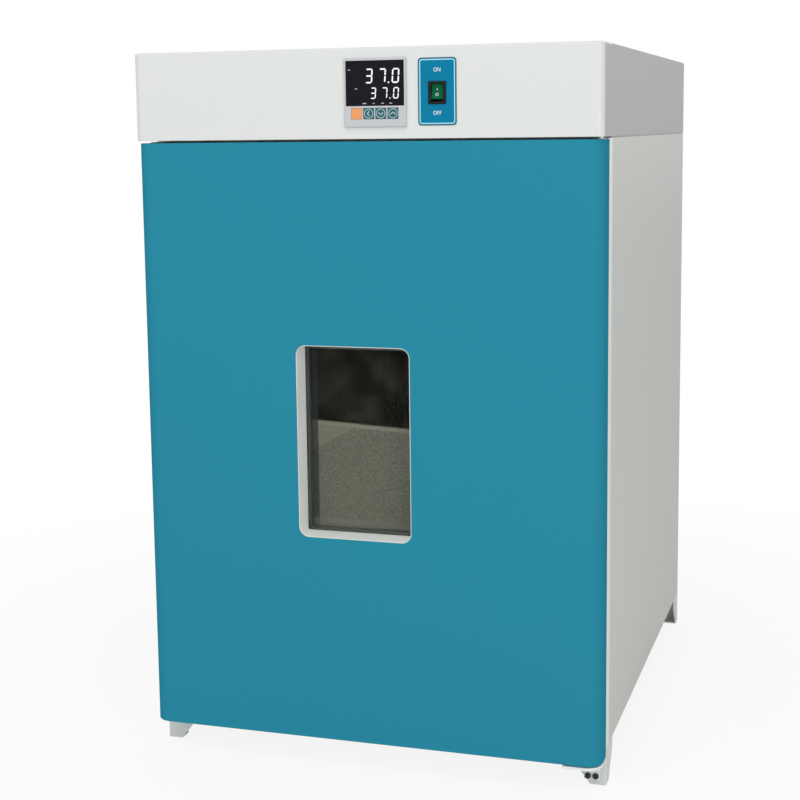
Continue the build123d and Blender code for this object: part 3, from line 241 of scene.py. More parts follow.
def level_at(z):
    """A test for edges at one height."""
    return lambda e: all(abs(v.co.z - z) < NEAR for v in e.verts)


def front_at(y):
    """A test for edges that lie wholly in the front face at depth y."""
    return lambda e: all(v.co.y < y + NEAR for v in e.verts)


def back_at(y):
    """A test for the face that closes a block at the rear."""
    return lambda f: f.normal.y > 0.99 and f.calc_center_median().y > y - NEAR


def along_y(edge):
    """A test for edges that run from front to rear."""
    return abs(edge.verts[0].co.y - edge.verts[1].co.y) > NEAR


def plate(name, x, z, width, height, corner, front, back):
    """A plate that faces the front, with rounded corners."""
    bpy.ops.object.select_all(action="DESELECT")
    bpy.ops.mesh.primitive_plane_add(size=1, location=(x, front, z), rotation=(math.pi / 2, 0, 0))
    bpy.context.object.scale = (width, height, 1)
    piece = settle(bpy.context.object, name)
    choose(piece, "VERT", lambda v: True)
    bpy.ops.mesh.bevel(offset=corner, segments=12, affect="VERTICES")
    bpy.ops.object.mode_set(mode="OBJECT")
    choose(piece, "FACE", lambda f: True)
    bpy.ops.mesh.extrude_region_move(TRANSFORM_OT_translate={"value": (0, back - front, 0)})
    done()
    return piece


def ring_points(radius, count):
    """Points round a circle about the origin, as pairs."""
    turns = [2 * math.pi * index / count for index in range(count)]
    return [(radius * math.cos(turn), radius * math.sin(turn)) for turn in turns]


def rounded_points(half_wide, half_high, corner, steps=6):
    """Points round a rectangle with round corners about the origin, as pairs."""
    points = []
    for quarter, (right, up) in enumerate(((1, 1), (-1, 1), (-1, -1), (1, -1))):
        for step in range(steps + 1):
            angle = math.pi / 2 * (quarter + step / steps)
            points.append((
                right * (half_wide - corner) + corner * math.cos(angle),
                up * (half_high - corner) + corner * math.sin(angle)))
    return points


def apply_modifier(piece, kind, **settings):
    """Adds a modifier with its settings and applies it."""
    alone(piece)
    bpy.ops.object.modifier_add(type=kind)
    modifier = piece.modifiers[-1]
    for key, value in settings.items():
        setattr(modifier, key, value)
    bpy.ops.object.modifier_apply(modifier=modifier.name)
    return piece


def cut(piece, *cutters):
    """Takes the cutters out of the piece and removes them."""
    for cutter in cutters:
        apply_modifier(piece, "BOOLEAN", operation="DIFFERENCE", solver="EXACT", object=cutter)
        bpy.data.objects.remove(cutter)


def joined(name, pieces):
    """One piece made of several."""
    bpy.ops.object.select_all(action="DESELECT")
    for piece in pieces:
        piece.select_set(True)
    bpy.context.view_layer.objects.active = pieces[0]
    bpy.ops.object.join()
    pieces[0].name = name
    pieces[0].data.name = name
    return pieces[0]


def smooth(piece, angle=32):
    """Splits faces of more than four corners, smooths curved ones and keeps flat ones flat."""
    apply_modifier(piece, "TRIANGULATE", min_vertices=5)
    alone(piece)
    bpy.ops.object.shade_smooth_by_angle(angle=math.radians(angle))
    return apply_modifier(piece, "WEIGHTED_NORMAL", keep_sharp=True, weight=80)


def place(piece, body, finish, slot, *nodes):
    """Gives a piece its finish and its body, and lets it stand for its CAD nodes; its slot is not used."""
    piece.data.materials.clear()
    piece.data.materials.append(FINISHES[finish])
    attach(piece, body)
    if nodes:
        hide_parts(*nodes)
    return piece


def body_of(node):
    """The body that a CAD node belongs to."""
    return frame["nodes"][node]["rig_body"]


def softened(node, finish, slot, radius, segments=2):
    """A merged copy of a CAD node with its sharp edges rounded, which stands for it."""
    mesh = frame["nodes"][node].data.copy()
    piece = bpy.data.objects.new(node + "_eased", mesh)
    bpy.context.scene.collection.objects.link(piece)
    choose(piece, "VERT", lambda v: True)
    bpy.ops.mesh.remove_doubles(threshold=NEAR / 5)
    bpy.ops.mesh.dissolve_limited(angle_limit=math.radians(0.5), use_dissolve_boundaries=False)
    bpy.ops.object.mode_set(mode="OBJECT")
    mesh.name = piece.name
    apply_modifier(
        piece, "BEVEL", width=radius, segments=segments, limit_method="ANGLE",
        angle_limit=math.radians(35), use_clamp_overlap=True, harden_normals=False)
    smooth(piece)
    return place(piece, body_of(node), finish, slot, node)


def drawn_line(name, points, width, closed=False):
    """A round line through points, made a mesh."""
    curve = bpy.data.curves.new(name, "CURVE")
    curve.dimensions = "3D"
    curve.bevel_depth = width / 2
    curve.bevel_resolution = 2
    curve.use_fill_caps = not closed
    spline = curve.splines.new("POLY")
    spline.points.add(len(points) - 1)
    for point, spot in zip(spline.points, points):
        point.co = (*spot, 1)
    spline.use_cyclic_u = closed
    piece = bpy.data.objects.new(name, curve)
    bpy.context.scene.collection.objects.link(piece)
    alone(piece)
    bpy.ops.object.convert(target="MESH")
    return bpy.context.object


def flattened(piece, y, ink):
    """Presses a line flat, so that it lies on the face at depth y like ink."""
    alone(piece)
    bpy.ops.object.mode_set(mode="EDIT")
    bpy.ops.mesh.select_all(action="SELECT")
    ys = [v.co.y for v in bmesh.from_edit_mesh(piece.data).verts]
    share = 2 * ink / (max(ys) - min(ys))
    bpy.ops.transform.resize(value=(1, share, 1), center_override=(0, y, 0))
    done()
    return piece


def word(name, text, x, z, height, squeeze, front, thickness):
    """A printed word centred at x and z, in letters squeezed to a share of their width."""
    bpy.ops.object.select_all(action="DESELECT")
    bpy.ops.object.text_add(location=(x, front, z), rotation=(math.pi / 2, 0, 0))
    piece = bpy.context.object
    piece.data.body = text
    piece.data.size = height
    piece.data.align_x = "CENTER"
    piece.data.align_y = "CENTER"
    piece.data.extrude = thickness
    piece.data.space_character = 1.1
    piece.scale.x = squeeze
    bpy.ops.object.convert(target="MESH")
    return settle(bpy.context.object, name)


# Finishes

def add(tree, kind, sockets=None, stops=None, **settings):
    """Adds a node with its settings, the values or links of its sockets, and the stops of its ramp."""
    node = tree.nodes.new(kind)
    for key, value in settings.items():
        setattr(node, key, value)
    for key, value in (sockets or {}).items():
        if isinstance(value, bpy.types.NodeSocket):
            tree.links.new(value, node.inputs[key])
        else:
            node.inputs[key].default_value = value
    for index, (position, colour) in enumerate(stops or []):
        elements = node.color_ramp.elements
        element = elements[index] if index < 2 else elements.new(position)
        element.position = position
        element.color = (*colour, 1)
    return node


def shaded(colour, share):
    """A colour made lighter or darker by a share of itself."""
    return tuple(min(1.0, max(0.0, c * (1 + share))) for c in colour)


def start(name, colour, **sockets):
    """A new material with its Principled shader's own sockets set: the material, its tree and its shader."""
    finish = bpy.data.materials.new(name)
    finish.use_nodes = True
    tree = finish.node_tree
    shader = tree.nodes["Principled BSDF"]
    shader.inputs["Base Color"].default_value = (*colour, 1)
    for key, value in sockets.items():
        shader.inputs[key.replace("_", " ")].default_value = value
    finish.diffuse_color = (*colour, 1)
    return finish, tree, shader


def mottle(tree, shader, colour, width, shade, height, rough, stretch=(1, 1, 1), detail=3.0):
    """Varies colour, roughness and relief in patches of a real width in metres."""
    spot = add(tree, "ShaderNodeTexCoord")
    mapping = add(tree, "ShaderNodeMapping", {"Vector": spot.outputs["Object"], "Scale": stretch})
    noise = add(tree, "ShaderNodeTexNoise", {
        "Vector": mapping.outputs["Vector"], "Scale": 1 / width, "Detail": detail, "Roughness": 0.55})
    ramp = add(tree, "ShaderNodeValToRGB", {"Fac": noise.outputs["Fac"]}, stops=[
        (0.3, shaded(colour, -shade)), (0.7, shaded(colour, shade))])
    tree.links.new(ramp.outputs["Color"], shader.inputs["Base Color"])
    spread = add(tree, "ShaderNodeMapRange", {
        "Value": noise.outputs["Fac"], "From Min": 0.3, "From Max": 0.7,
        "To Min": rough[0], "To Max": rough[1]})
    tree.links.new(spread.outputs["Result"], shader.inputs["Roughness"])
    bump = add(tree, "ShaderNodeBump", {"Height": noise.outputs["Fac"], "Strength": 1.0, "Distance": height})
    tree.links.new(bump.outputs["Normal"], shader.inputs["Normal"])


def powder_coat(name, colour, **sockets):
    """Baked polyester powder on steel: even and satin, with a fine orange peel about 2 mm wide."""
    finish, tree, shader = start(name, colour, IOR=1.5, **sockets)
    mottle(tree, shader, colour, 2.2 * MM, shade=0.012, height=0.012 * MM, rough=(0.36, 0.44))
    return finish


def moulded(name, colour, **sockets):
    """Injection-moulded plastic: an even colour with a fine spark-eroded grain, drawn 0.6 mm wide to show."""
    finish, tree, shader = start(name, colour, IOR=1.49, **sockets)
    mottle(tree, shader, colour, 0.6 * MM, shade=0.03, height=0.008 * MM, rough=(0.4, 0.52))
    return finish


def rolled_metal(name, colour, width, stretch, rough):
    """Sheet or bar metal whose rolling or brushing leaves fine lines along one direction."""
    finish, tree, shader = start(name, colour, Metallic=1.0)
    mottle(tree, shader, colour, width, shade=0.06, height=0.006 * MM, rough=rough, stretch=stretch)
    return finish


def zinc_spangle():
    """Hot-dip galvanised steel: dull grey crystals about 12 mm across, each with its own sheen."""
    colour = srgb("A9ADAE")
    finish, tree, shader = start("galvanised_sheet", colour, Metallic=1.0)
    spot = add(tree, "ShaderNodeTexCoord")
    cells = add(tree, "ShaderNodeTexVoronoi", {"Vector": spot.outputs["Object"], "Scale": 1 / (12 * MM)})
    grey = add(tree, "ShaderNodeSeparateColor", {"Color": cells.outputs["Color"]})
    ramp = add(tree, "ShaderNodeValToRGB", {"Fac": grey.outputs[0]}, stops=[
        (0.0, shaded(colour, -0.12)), (1.0, shaded(colour, 0.1))])
    tree.links.new(ramp.outputs["Color"], shader.inputs["Base Color"])
    sheen = add(tree, "ShaderNodeMapRange", {"Value": grey.outputs[1], "To Min": 0.38, "To Max": 0.55})
    tree.links.new(sheen.outputs["Result"], shader.inputs["Roughness"])
    return finish


def mineral_wool():
    """Pressed mineral wool: yellow-brown fibres a few millimetres long, matt and broken."""
    colour = srgb("B59A62")
    finish, tree, shader = start("mineral_wool", colour, IOR=1.45)
    mottle(
        tree, shader, colour, 4 * MM, shade=0.22, height=0.9 * MM, rough=(0.88, 0.98), stretch=(1, 1, 5),
        detail=6.0)
    return finish


def clear_glass():
    """Float glass with a low reflection, so that the pane reads clear over the dark chamber."""
    colour = srgb("F4F8F6")
    finish, tree, shader = start("float_glass", colour, IOR=1.1, Roughness=0.0)
    shader.inputs["Transmission Weight"].default_value = 1.0
    spot = add(tree, "ShaderNodeTexCoord")
    # The roller waves of float glass are far wider than the pane, so they are drawn 60 mm wide to show.
    wave = add(tree, "ShaderNodeTexNoise", {"Vector": spot.outputs["Object"], "Scale": 1 / (60 * MM)})
    bump = add(tree, "ShaderNodeBump", {
        "Height": wave.outputs["Fac"], "Strength": 0.2, "Distance": 0.02 * MM})
    tree.links.new(bump.outputs["Normal"], shader.inputs["Normal"])
    return finish


def glass_with_painted_reflection():
    """The inner pane with a painted reflection: nearly black above, and a stony grey below its middle."""
    finish, tree, shader = start("painted_reflection_glass", srgb("24221D"), IOR=1.12, Roughness=0.12)
    spot = add(tree, "ShaderNodeTexCoord")
    axes = add(tree, "ShaderNodeSeparateXYZ", {"Vector": spot.outputs["Object"]})
    low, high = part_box("inner_glass")
    middle = 0.575      # height of the boundary as a share of the pane
    fall = -0.05        # the boundary falls to the right, by 9 mm over the pane
    level = low.z + middle * (high.z - low.z)
    lean = add(tree, "ShaderNodeMath", {0: axes.outputs["X"], 1: fall, 2: level}, operation="MULTIPLY_ADD")
    above = add(tree, "ShaderNodeMath", {0: axes.outputs["Z"], 1: lean.outputs[0]}, operation="SUBTRACT")
    lower = add(tree, "ShaderNodeMapRange", {
        "Value": above.outputs[0], "From Min": 1.5 * MM, "From Max": -1.5 * MM})
    # Painted reflection, gravel-like: grains about 2 mm across, and clouds about 40 mm across in the dark
    # part.
    reflected_grain = add(tree, "ShaderNodeTexNoise", {
        "Vector": spot.outputs["Object"], "Scale": 1 / (2 * MM), "Detail": 4.0})
    reflected_floor_tone = add(tree, "ShaderNodeValToRGB", {"Fac": reflected_grain.outputs["Fac"]}, stops=[
        (0.34, srgb("5E5E53")), (0.66, srgb("7B7A6D"))])
    cloud = add(tree, "ShaderNodeTexNoise", {
        "Vector": spot.outputs["Object"], "Scale": 1 / (42 * MM), "Detail": 2.0})
    dark = add(tree, "ShaderNodeValToRGB", {"Fac": cloud.outputs["Fac"]}, stops=[
        (0.40, srgb("14130F")), (0.75, srgb("34322C"))])
    tone = add(tree, "ShaderNodeMix", {
        0: lower.outputs["Result"], 6: dark.outputs["Color"], 7: reflected_floor_tone.outputs["Color"]}, data_type="RGBA")
    # A paler painted line 6 mm wide, part of the reflection, runs just under the boundary.
    line = add(tree, "ShaderNodeMath", {0: above.outputs[0], 1: -4 * MM, 2: 3 * MM}, operation="COMPARE")
    faint = add(tree, "ShaderNodeMath", {0: line.outputs[0], 1: 0.35}, operation="MULTIPLY")
    # A beige patch of painted reflection, 90 mm wide, hangs under the line at the left, cut off by a slanting
    # edge.
    slope = -0.62
    slant = add(tree, "ShaderNodeMath", {
        0: axes.outputs["X"], 1: slope, 2: above.outputs[0]}, operation="MULTIPLY_ADD")
    corner = slope * (low.x + 90 * MM)
    under = add(tree, "ShaderNodeMapRange", {
        "Value": slant.outputs[0], "From Min": corner - MM, "From Max": corner + MM, "To Max": 0.5})
    patch = add(tree, "ShaderNodeMath", {
        0: under.outputs["Result"], 1: lower.outputs["Result"]}, operation="MULTIPLY")
    # A painted shadow of the seal darkens the left edge, and a paler painted strip of it shows along the
    # foot.
    left = add(tree, "ShaderNodeMapRange", {
        "Value": axes.outputs["X"], "From Min": low.x + 21 * MM, "From Max": low.x + 20 * MM, "To Max": 0.75})
    foot = add(tree, "ShaderNodeMapRange", {
        "Value": axes.outputs["Z"], "From Min": low.z + 24 * MM, "From Max": low.z + 22 * MM, "To Max": 0.45})
    layers = (
        (faint.outputs[0], "A3A093"), (patch.outputs[0], "8A8371"),
        (left.outputs["Result"], "35363A"), (foot.outputs["Result"], "7C7B72"))
    for share, code in layers:
        layer = {0: share, 6: tone.outputs[2], 7: (*srgb(code), 1)}
        tone = add(tree, "ShaderNodeMix", layer, data_type="RGBA")
    # The painted reflection lies on the pane's outer face, and its back is plain smoked glass.
    facing = add(tree, "ShaderNodeSeparateXYZ", {"Vector": spot.outputs["Normal"]})
    outer = add(tree, "ShaderNodeMath", {0: facing.outputs["Y"], 1: -0.5}, operation="LESS_THAN")
    pane = add(tree, "ShaderNodeMix", {
        0: outer.outputs[0], 6: (*srgb("2B2C29"), 1), 7: tone.outputs[2]}, data_type="RGBA")
    tree.links.new(pane.outputs[2], shader.inputs["Base Color"])
    return finish


def glowing(name, colour, strength):
    """Light-emitting segments under a dark lens: an even glow with slightly darker spots."""
    finish, tree, shader = start(name, srgb("26282C"), Roughness=0.4)
    spot = add(tree, "ShaderNodeTexCoord")
    noise = add(tree, "ShaderNodeTexNoise", {
        "Vector": spot.outputs["Object"], "Scale": 1 / (5 * MM), "Detail": 1.0})
    glow = add(tree, "ShaderNodeValToRGB", {"Fac": noise.outputs["Fac"]}, stops=[
        (0.3, shaded(colour, -0.08)), (0.6, colour)])
    tree.links.new(glow.outputs["Color"], shader.inputs["Emission Color"])
    shader.inputs["Emission Strength"].default_value = strength
    return finish


def make_finishes():
    """Every finish of the object, by the name of its slot in the record or of its use."""
    colours = bpy.context.scene.incubator_colours
    even = (1, 1, 1)
    upright = (1, 1, 0.02)      # lines drawn fifty times as long as they are wide
    level = (0.02, 1, 1)
    return {
        # Clean white, a shade brighter than the cabinet, with a soft sheen
        "white_powder": powder_coat("white_powder_coat", colours.trim),
        # Cool off-white of the header's front
        "header_powder": powder_coat("header_front_powder_coat", colours.header),
        # Pale grey of the large side and rear panels
        "cabinet_powder": powder_coat("cabinet_powder_coat", colours.cabinet),
        # Mid grey of the header's sides and top: painted shade, darker than the panels below
        "hood_powder_painted_shade": powder_coat("header_cover_painted_shade_coat", colours.hood),
        # Matt teal with hardly any reflection, even along the door's side
        "teal_powder": powder_coat("door_powder_coat", colours.door, Specular_IOR_Level=0.0),
        "zinc_steel": zinc_spangle(),
        # Warm grey chamber steel with fine level brushing
        "stainless": rolled_metal("brushed_stainless_steel", srgb("B9B8B3"), 1.5 * MM, level, (0.26, 0.36)),
        # Bright, slightly blue fasteners and brackets
        "plated_steel": rolled_metal("zinc_plated_steel", srgb("BFC1C2"), 3 * MM, even, (0.24, 0.34)),
        # Dark grey bolt heads with a dull oily sheen
        "black_steel": rolled_metal("blackened_steel", srgb("434341"), 2 * MM, even, (0.42, 0.55)),
        # Brownish grey heater tube, dulled by heat
        "heater_alloy": rolled_metal("heater_sheath_alloy", srgb("6E6A64"), 4 * MM, even, (0.45, 0.6)),
        # Nearly black motor housing
        "black_enamel": powder_coat("black_motor_enamel", srgb("1B1C1E")),
        # Light, bluish fan wheel with upright rolling lines
        "bare_aluminium": rolled_metal(
            "mill_finish_aluminium", srgb("C3C5C7"), 1.2 * MM, upright, (0.3, 0.42)),
        "mineral_wool": mineral_wool(),
        "window_glass": clear_glass(),
        # Inner pane with a painted reflection, dark above and stony grey below
        "painted_reflection_glass": glass_with_painted_reflection(),
        # Soft black of the door's gasket
        "black_rubber": moulded("extruded_rubber", srgb("1D1E1F"), Specular_IOR_Level=0.3),
        # Dull grey strips between and round the panes
        "grey_seal": moulded("grey_glazing_seal", srgb("5C5D57"), Specular_IOR_Level=0.2),
        # Black of the switch's bezel and the inlet, with little shine
        "black_plastic": moulded("black_moulded_abs", srgb("0F1214"), Specular_IOR_Level=0.2),
        # Clean white of the door's grip
        "white_plastic": moulded("white_moulded_abs", srgb("EDEFEA")),
        # Cool pale grey of the controller's bezel
        "grey_plastic": moulded("pale_grey_moulded_abs", srgb("C6C8CB")),
        # Blue-black lens that hides the unlit segments
        "display_plastic": moulded("smoked_display_lens", srgb("11121A"), Specular_IOR_Level=0.1),
        # Soft orange of the first key
        "orange_plastic": moulded("orange_key_cap", colours.set_key),
        # Dark teal of the arrow keys
        "teal_plastic": moulded("teal_key_cap", colours.arrow_key),
        # Strong blue-green of the printed plate
        "teal_plate": moulded("printed_switch_plate", colours.plate, Specular_IOR_Level=0.1),
        # Dark border of the plate, and the ice-blue line inside it
        "plate_edge": moulded("printed_dark_outline", srgb("1F5A6E")),
        "plate_line": moulded("printed_pale_line", srgb("A8E8F8")),
        # Pale blue-green rings and arrows on the keys
        "key_mark": moulded("printed_key_mark", srgb("A8CFD6")),
        # Dim grey marks on the lens, and bright white words and signs
        "pale_ink": moulded("printed_pale_grey_ink", srgb("B9BDC2")),
        "white_ink": moulded("printed_white_ink", srgb("F2FBFD")),
        # Deep green rocker
        "green_plastic": moulded("green_rocker_cap", colours.rocker, Specular_IOR_Level=0.05),
        "digit_glow": glowing("lit_segments", srgb("FFFFFF"), 1.0),
        # Mid green board with a fine weave
        "board_laminate": moulded("green_board_laminate", srgb("2C5A3A")),
        # Creamy, slightly waxy hinge bushes
        "nylon": moulded("natural_nylon", srgb("DAD7C8")),
    }


# Pieces

class INCUBATOR_OT_finishes(bpy.types.Operator):
    """Makes every material and gives each CAD node the one of its slot"""
    bl_idname = "incubator.finishes"
    bl_label = "Finishes"

    def execute(self, context):
        FINISHES.update(make_finishes())
        slots = {part["node"]: part["material_slot"] for part in frame["record"]["subparts"]}
        for node, piece in frame["nodes"].items():
            piece.data.materials.clear()
            piece.data.materials.append(FINISHES[slots[node]])
        return {"FINISHED"}


class INCUBATOR_OT_door_skin(bpy.types.Operator):
    """Makes the door's folded teal skin, with its rolled upright edges and its window cut"""
    bl_idname = "incubator.door_skin"
    bl_label = "Door skin"

    def execute(self, context):
        sizes = context.scene.incubator_door
        low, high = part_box("door_shell")
        skin = block("door_skin", low, high)
        round_edges(skin, upright_at(low.y), sizes.roll, 14)
        round_edges(skin, level_at(high.z), sizes.fold, 3)
        round_edges(skin, level_at(low.z), sizes.fold, 3)
        choose(skin, "FACE", back_at(high.y))
        bpy.ops.mesh.inset(thickness=sizes.lip)
        bpy.ops.mesh.delete(type="FACE")
        bpy.ops.object.mode_set(mode="OBJECT")
        apply_modifier(skin, "SOLIDIFY", thickness=sizes.sheet, offset=-1, use_even_offset=True)
        cut(skin, *self.cutters(low, sizes))
        smooth(skin)
        place(skin, "door", "teal_powder", "teal_powder", "door_shell")
        return {"FINISHED"}

    def cutters(self, low, sizes):
        """What the window, the grip and the hinge bushes take out of the skin."""
        flange = 10 * MM                        # width of the reveal's flange behind the skin
        before, behind = 5 * MM, 20 * MM        # how far the window's cut reaches out of the front face
        room = Vector((0, 0.1 * MM, 0.1 * MM))  # gap round the grip
        past = Vector((9 * MM, 0, 0))           # the grip's cut runs out past the rolled edge
        bush_radius, bush_over = 6.5 * MM, 4 * MM
        reveal_low, reveal_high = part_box("window_reveal")
        centre = (reveal_low + reveal_high) / 2
        size = reveal_high - reveal_low
        made = [plate(
            "window_cut", centre.x, centre.z, size.x - 2 * flange, size.z - 2 * flange, sizes.window_corner,
            low.y - before, low.y + behind)]
        grip_low, grip_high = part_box("door_grip")
        made.append(block("grip_cut", grip_low - room - past, grip_high + room))
        for node in ("upper_bush", "lower_bush"):
            bush_low, bush_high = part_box(node)
            depth = bush_high.z - bush_low.z + bush_over
            made.append(upright_bar(node + "_cut", (bush_low + bush_high) / 2, bush_radius, depth))
        return made


class INCUBATOR_OT_window(bpy.types.Operator):
    """Eases the window's white surround, its two panes, their spacer and their seal"""
    bl_idname = "incubator.window"
    bl_label = "Window"

    def execute(self, context):
        softened("window_reveal", "white_powder", "white_powder", 0.7 * MM, 3)
        softened("outer_glass", "window_glass", "window_glass", 0.5 * MM)
        # The inner pane carries a painted reflection.
        softened("inner_glass", "painted_reflection_glass", "window_glass", 0.5 * MM)
        softened("glass_spacer", "grey_seal", "black_rubber", 0.3 * MM)
        softened("glass_seal", "grey_seal", "black_rubber", 0.3 * MM)
        return {"FINISHED"}


class INCUBATOR_OT_door_inside(bpy.types.Operator):
    """Eases the edges of the door's liner, grip and gasket"""
    bl_idname = "incubator.door_inside"
    bl_label = "Door inside"

    def execute(self, context):
        softened("door_liner", "white_powder", "white_powder", 0.6 * MM)
        softened("door_grip", "white_plastic", "white_plastic", 0.8 * MM)
        softened("gasket", "black_rubber", "black_rubber", 1.6 * MM, 3)
        return {"FINISHED"}


class INCUBATOR_OT_shelves(bpy.types.Operator):
    """Makes the three wire shelves from round bars"""
    bl_idname = "incubator.shelves"
    bl_label = "Wire shelves"

    def execute(self, context):
        nodes = ("wire_shelf_1", "wire_shelf_2", "wire_shelf_3")
        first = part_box(nodes[0])[0].z
        shelf = self.shelf(*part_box(nodes[0]), context.scene.incubator_shelves)
        for node in nodes:
            mesh = shelf.data.copy()
            mesh.transform(Matrix.Translation((0, 0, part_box(node)[0].z - first)))
            piece = bpy.data.objects.new(node + "_bars", mesh)
            context.scene.collection.objects.link(piece)
            place(smooth(piece, 40), body_of(node), "stainless", "stainless", node)
        bpy.data.objects.remove(shelf)
        return {"FINISHED"}

    def shelf(self, low, high, sizes):
        """A bent rim, two cross bars and the wires welded on them."""
        rim = sizes.rim
        centre = (low + high) / 2
        wide, deep = (high.x - low.x) / 2 - rim, (high.y - low.y) / 2 - rim
        z = low.z + rim
        path = [(centre.x + x, centre.y + y, z) for x, y in rounded_points(wide, deep, sizes.corner)]
        bars = [drawn_line("rim", path, 2 * rim, True)]
        count = int((2 * wide - 2 * sizes.corner) // sizes.pitch)
        top = high.z - sizes.wire
        for index in range(count + 1):
            x = centre.x + (index - count / 2) * sizes.pitch
            ends = [(x, centre.y - deep, top), (x, centre.y + deep, top)]
            bars.append(drawn_line("wire", ends, 2 * sizes.wire))
        thinner = 1.2 * MM      # the cross bars are this much thinner than the rim
        for side in (-1, 1):
            y = centre.y + side * 0.4 * deep
            ends = [(centre.x - wide, y, z), (centre.x + wide, y, z)]
            bars.append(drawn_line("bar", ends, 2 * rim - thinner))
        return joined("shelf", bars)


class INCUBATOR_OT_chamber(bpy.types.Operator):
    """Eases the pressed edges inside the chamber and on the fan"""
    bl_idname = "incubator.chamber"
    bl_label = "Chamber"

    def execute(self, context):
        for node in ("inner_chamber", "air_baffle", "pilasters", "shelf_clips"):
            softened(node, "stainless", "stainless", 0.3 * MM)
        softened("impeller", "bare_aluminium", "bare_aluminium", 0.2 * MM)
        softened("fan_motor", "black_enamel", "black_enamel", 0.8 * MM)
        softened("temperature_probe", "stainless", "stainless", 0.3 * MM)
        return {"FINISHED"}


class INCUBATOR_OT_rear(bpy.types.Operator):
    """Eases the moulded edges of the fittings at the rear"""
    bl_idname = "incubator.rear"
    bl_label = "Rear fittings"

    def execute(self, context):
        softened("mains_inlet", "black_plastic", "black_plastic", 0.5 * MM)
        softened("fuse_holder", "black_plastic", "black_plastic", 0.4 * MM)
        softened("panel_screws", "plated_steel", "plated_steel", 0.2 * MM)
        return {"FINISHED"}


class INCUBATOR_OT_cabinet(bpy.types.Operator):
    """Eases the folded edges of the cabinet's panels, frame, feet and hinges"""
    bl_idname = "incubator.cabinet"
    bl_label = "Cabinet"

    def execute(self, context):
        for node in ("side_panel_left", "side_panel_right", "rear_panel"):
            softened(node, "cabinet_powder", "white_powder", 0.5 * MM)
        for node in ("foot_front_left", "foot_front_right", "foot_rear_left", "foot_rear_right"):
            softened(node, "header_powder", "white_powder", 0.9 * MM, 3)
        softened("front_frame", "white_powder", "white_powder", 0.5 * MM)
        softened("lower_hinge", "white_powder", "white_powder", 0.7 * MM, 3)
        softened("base_pan", "zinc_steel", "zinc_steel", 0.4 * MM)
        softened("upper_hinge", "plated_steel", "plated_steel", 0.4 * MM)
        softened("hex_bolts", "black_steel", "black_steel", 0.25 * MM)
        return {"FINISHED"}


class INCUBATOR_OT_header(bpy.types.Operator):
    """Makes the header's rounded front cap and the cover behind it"""
    bl_idname = "incubator.header"
    bl_label = "Header"

    def execute(self, context):
        sizes = context.scene.incubator_header
        self.fascia(sizes)
        # The cover's darker coat is painted shade.
        softened("header_cover", "hood_powder_painted_shade", "white_powder", 0.5 * MM)
        softened("header_joint_strip", "white_powder", "white_powder", 0.3 * MM)
        return {"FINISHED"}

    def fascia(self, sizes):
        """A five-sided cap, hollowed from the rear and cut for the controller, the switch and a pin."""
        foot_edge = 0.8 * MM
        reach = Vector((0, 20 * MM, 0))             # the cuts start this far before the front
        room = Vector((0.3 * MM, 0, 0.3 * MM))      # gap round the controller's case
        rim = Vector((2.5 * MM, 0, 2.5 * MM))       # the switch's bezel covers this much of the front
        pin_radius, pin_cut = 4.3 * MM, 60 * MM
        low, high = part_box("header_fascia")
        cap = block("header_front_cap", low, high)
        round_edges(cap, upright_at(low.y), sizes.corner, 10)
        round_edges(cap, level_at(high.z), sizes.edge, 5)
        round_edges(cap, level_at(low.z), foot_edge, 3)
        choose(cap, "FACE", back_at(high.y))
        bpy.ops.mesh.delete(type="FACE")
        bpy.ops.object.mode_set(mode="OBJECT")
        apply_modifier(cap, "SOLIDIFY", thickness=sizes.sheet, offset=-1, use_even_offset=True)
        case_low, case_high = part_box("controller_case")
        body_low, body_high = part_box("switch_housing")
        pin_low, pin_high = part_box("upper_pin")
        holes = (
            block("case_cut", case_low - room - reach, case_high + room),
            block("switch_cut", body_low + rim - reach, body_high - rim),
            upright_bar("pin_cut", (pin_low + pin_high) / 2, pin_radius, pin_cut))
        cut(cap, *holes)
        smooth(cap)
        place(cap, "cabinet", "header_powder", "white_powder", "header_fascia")
        # The cap's flat sides get the cover's darker coat as painted shade.
        cap.data.materials.append(FINISHES["hood_powder_painted_shade"])
        for face in cap.data.polygons:
            face.material_index = int(abs(face.normal.x) > 0.99)


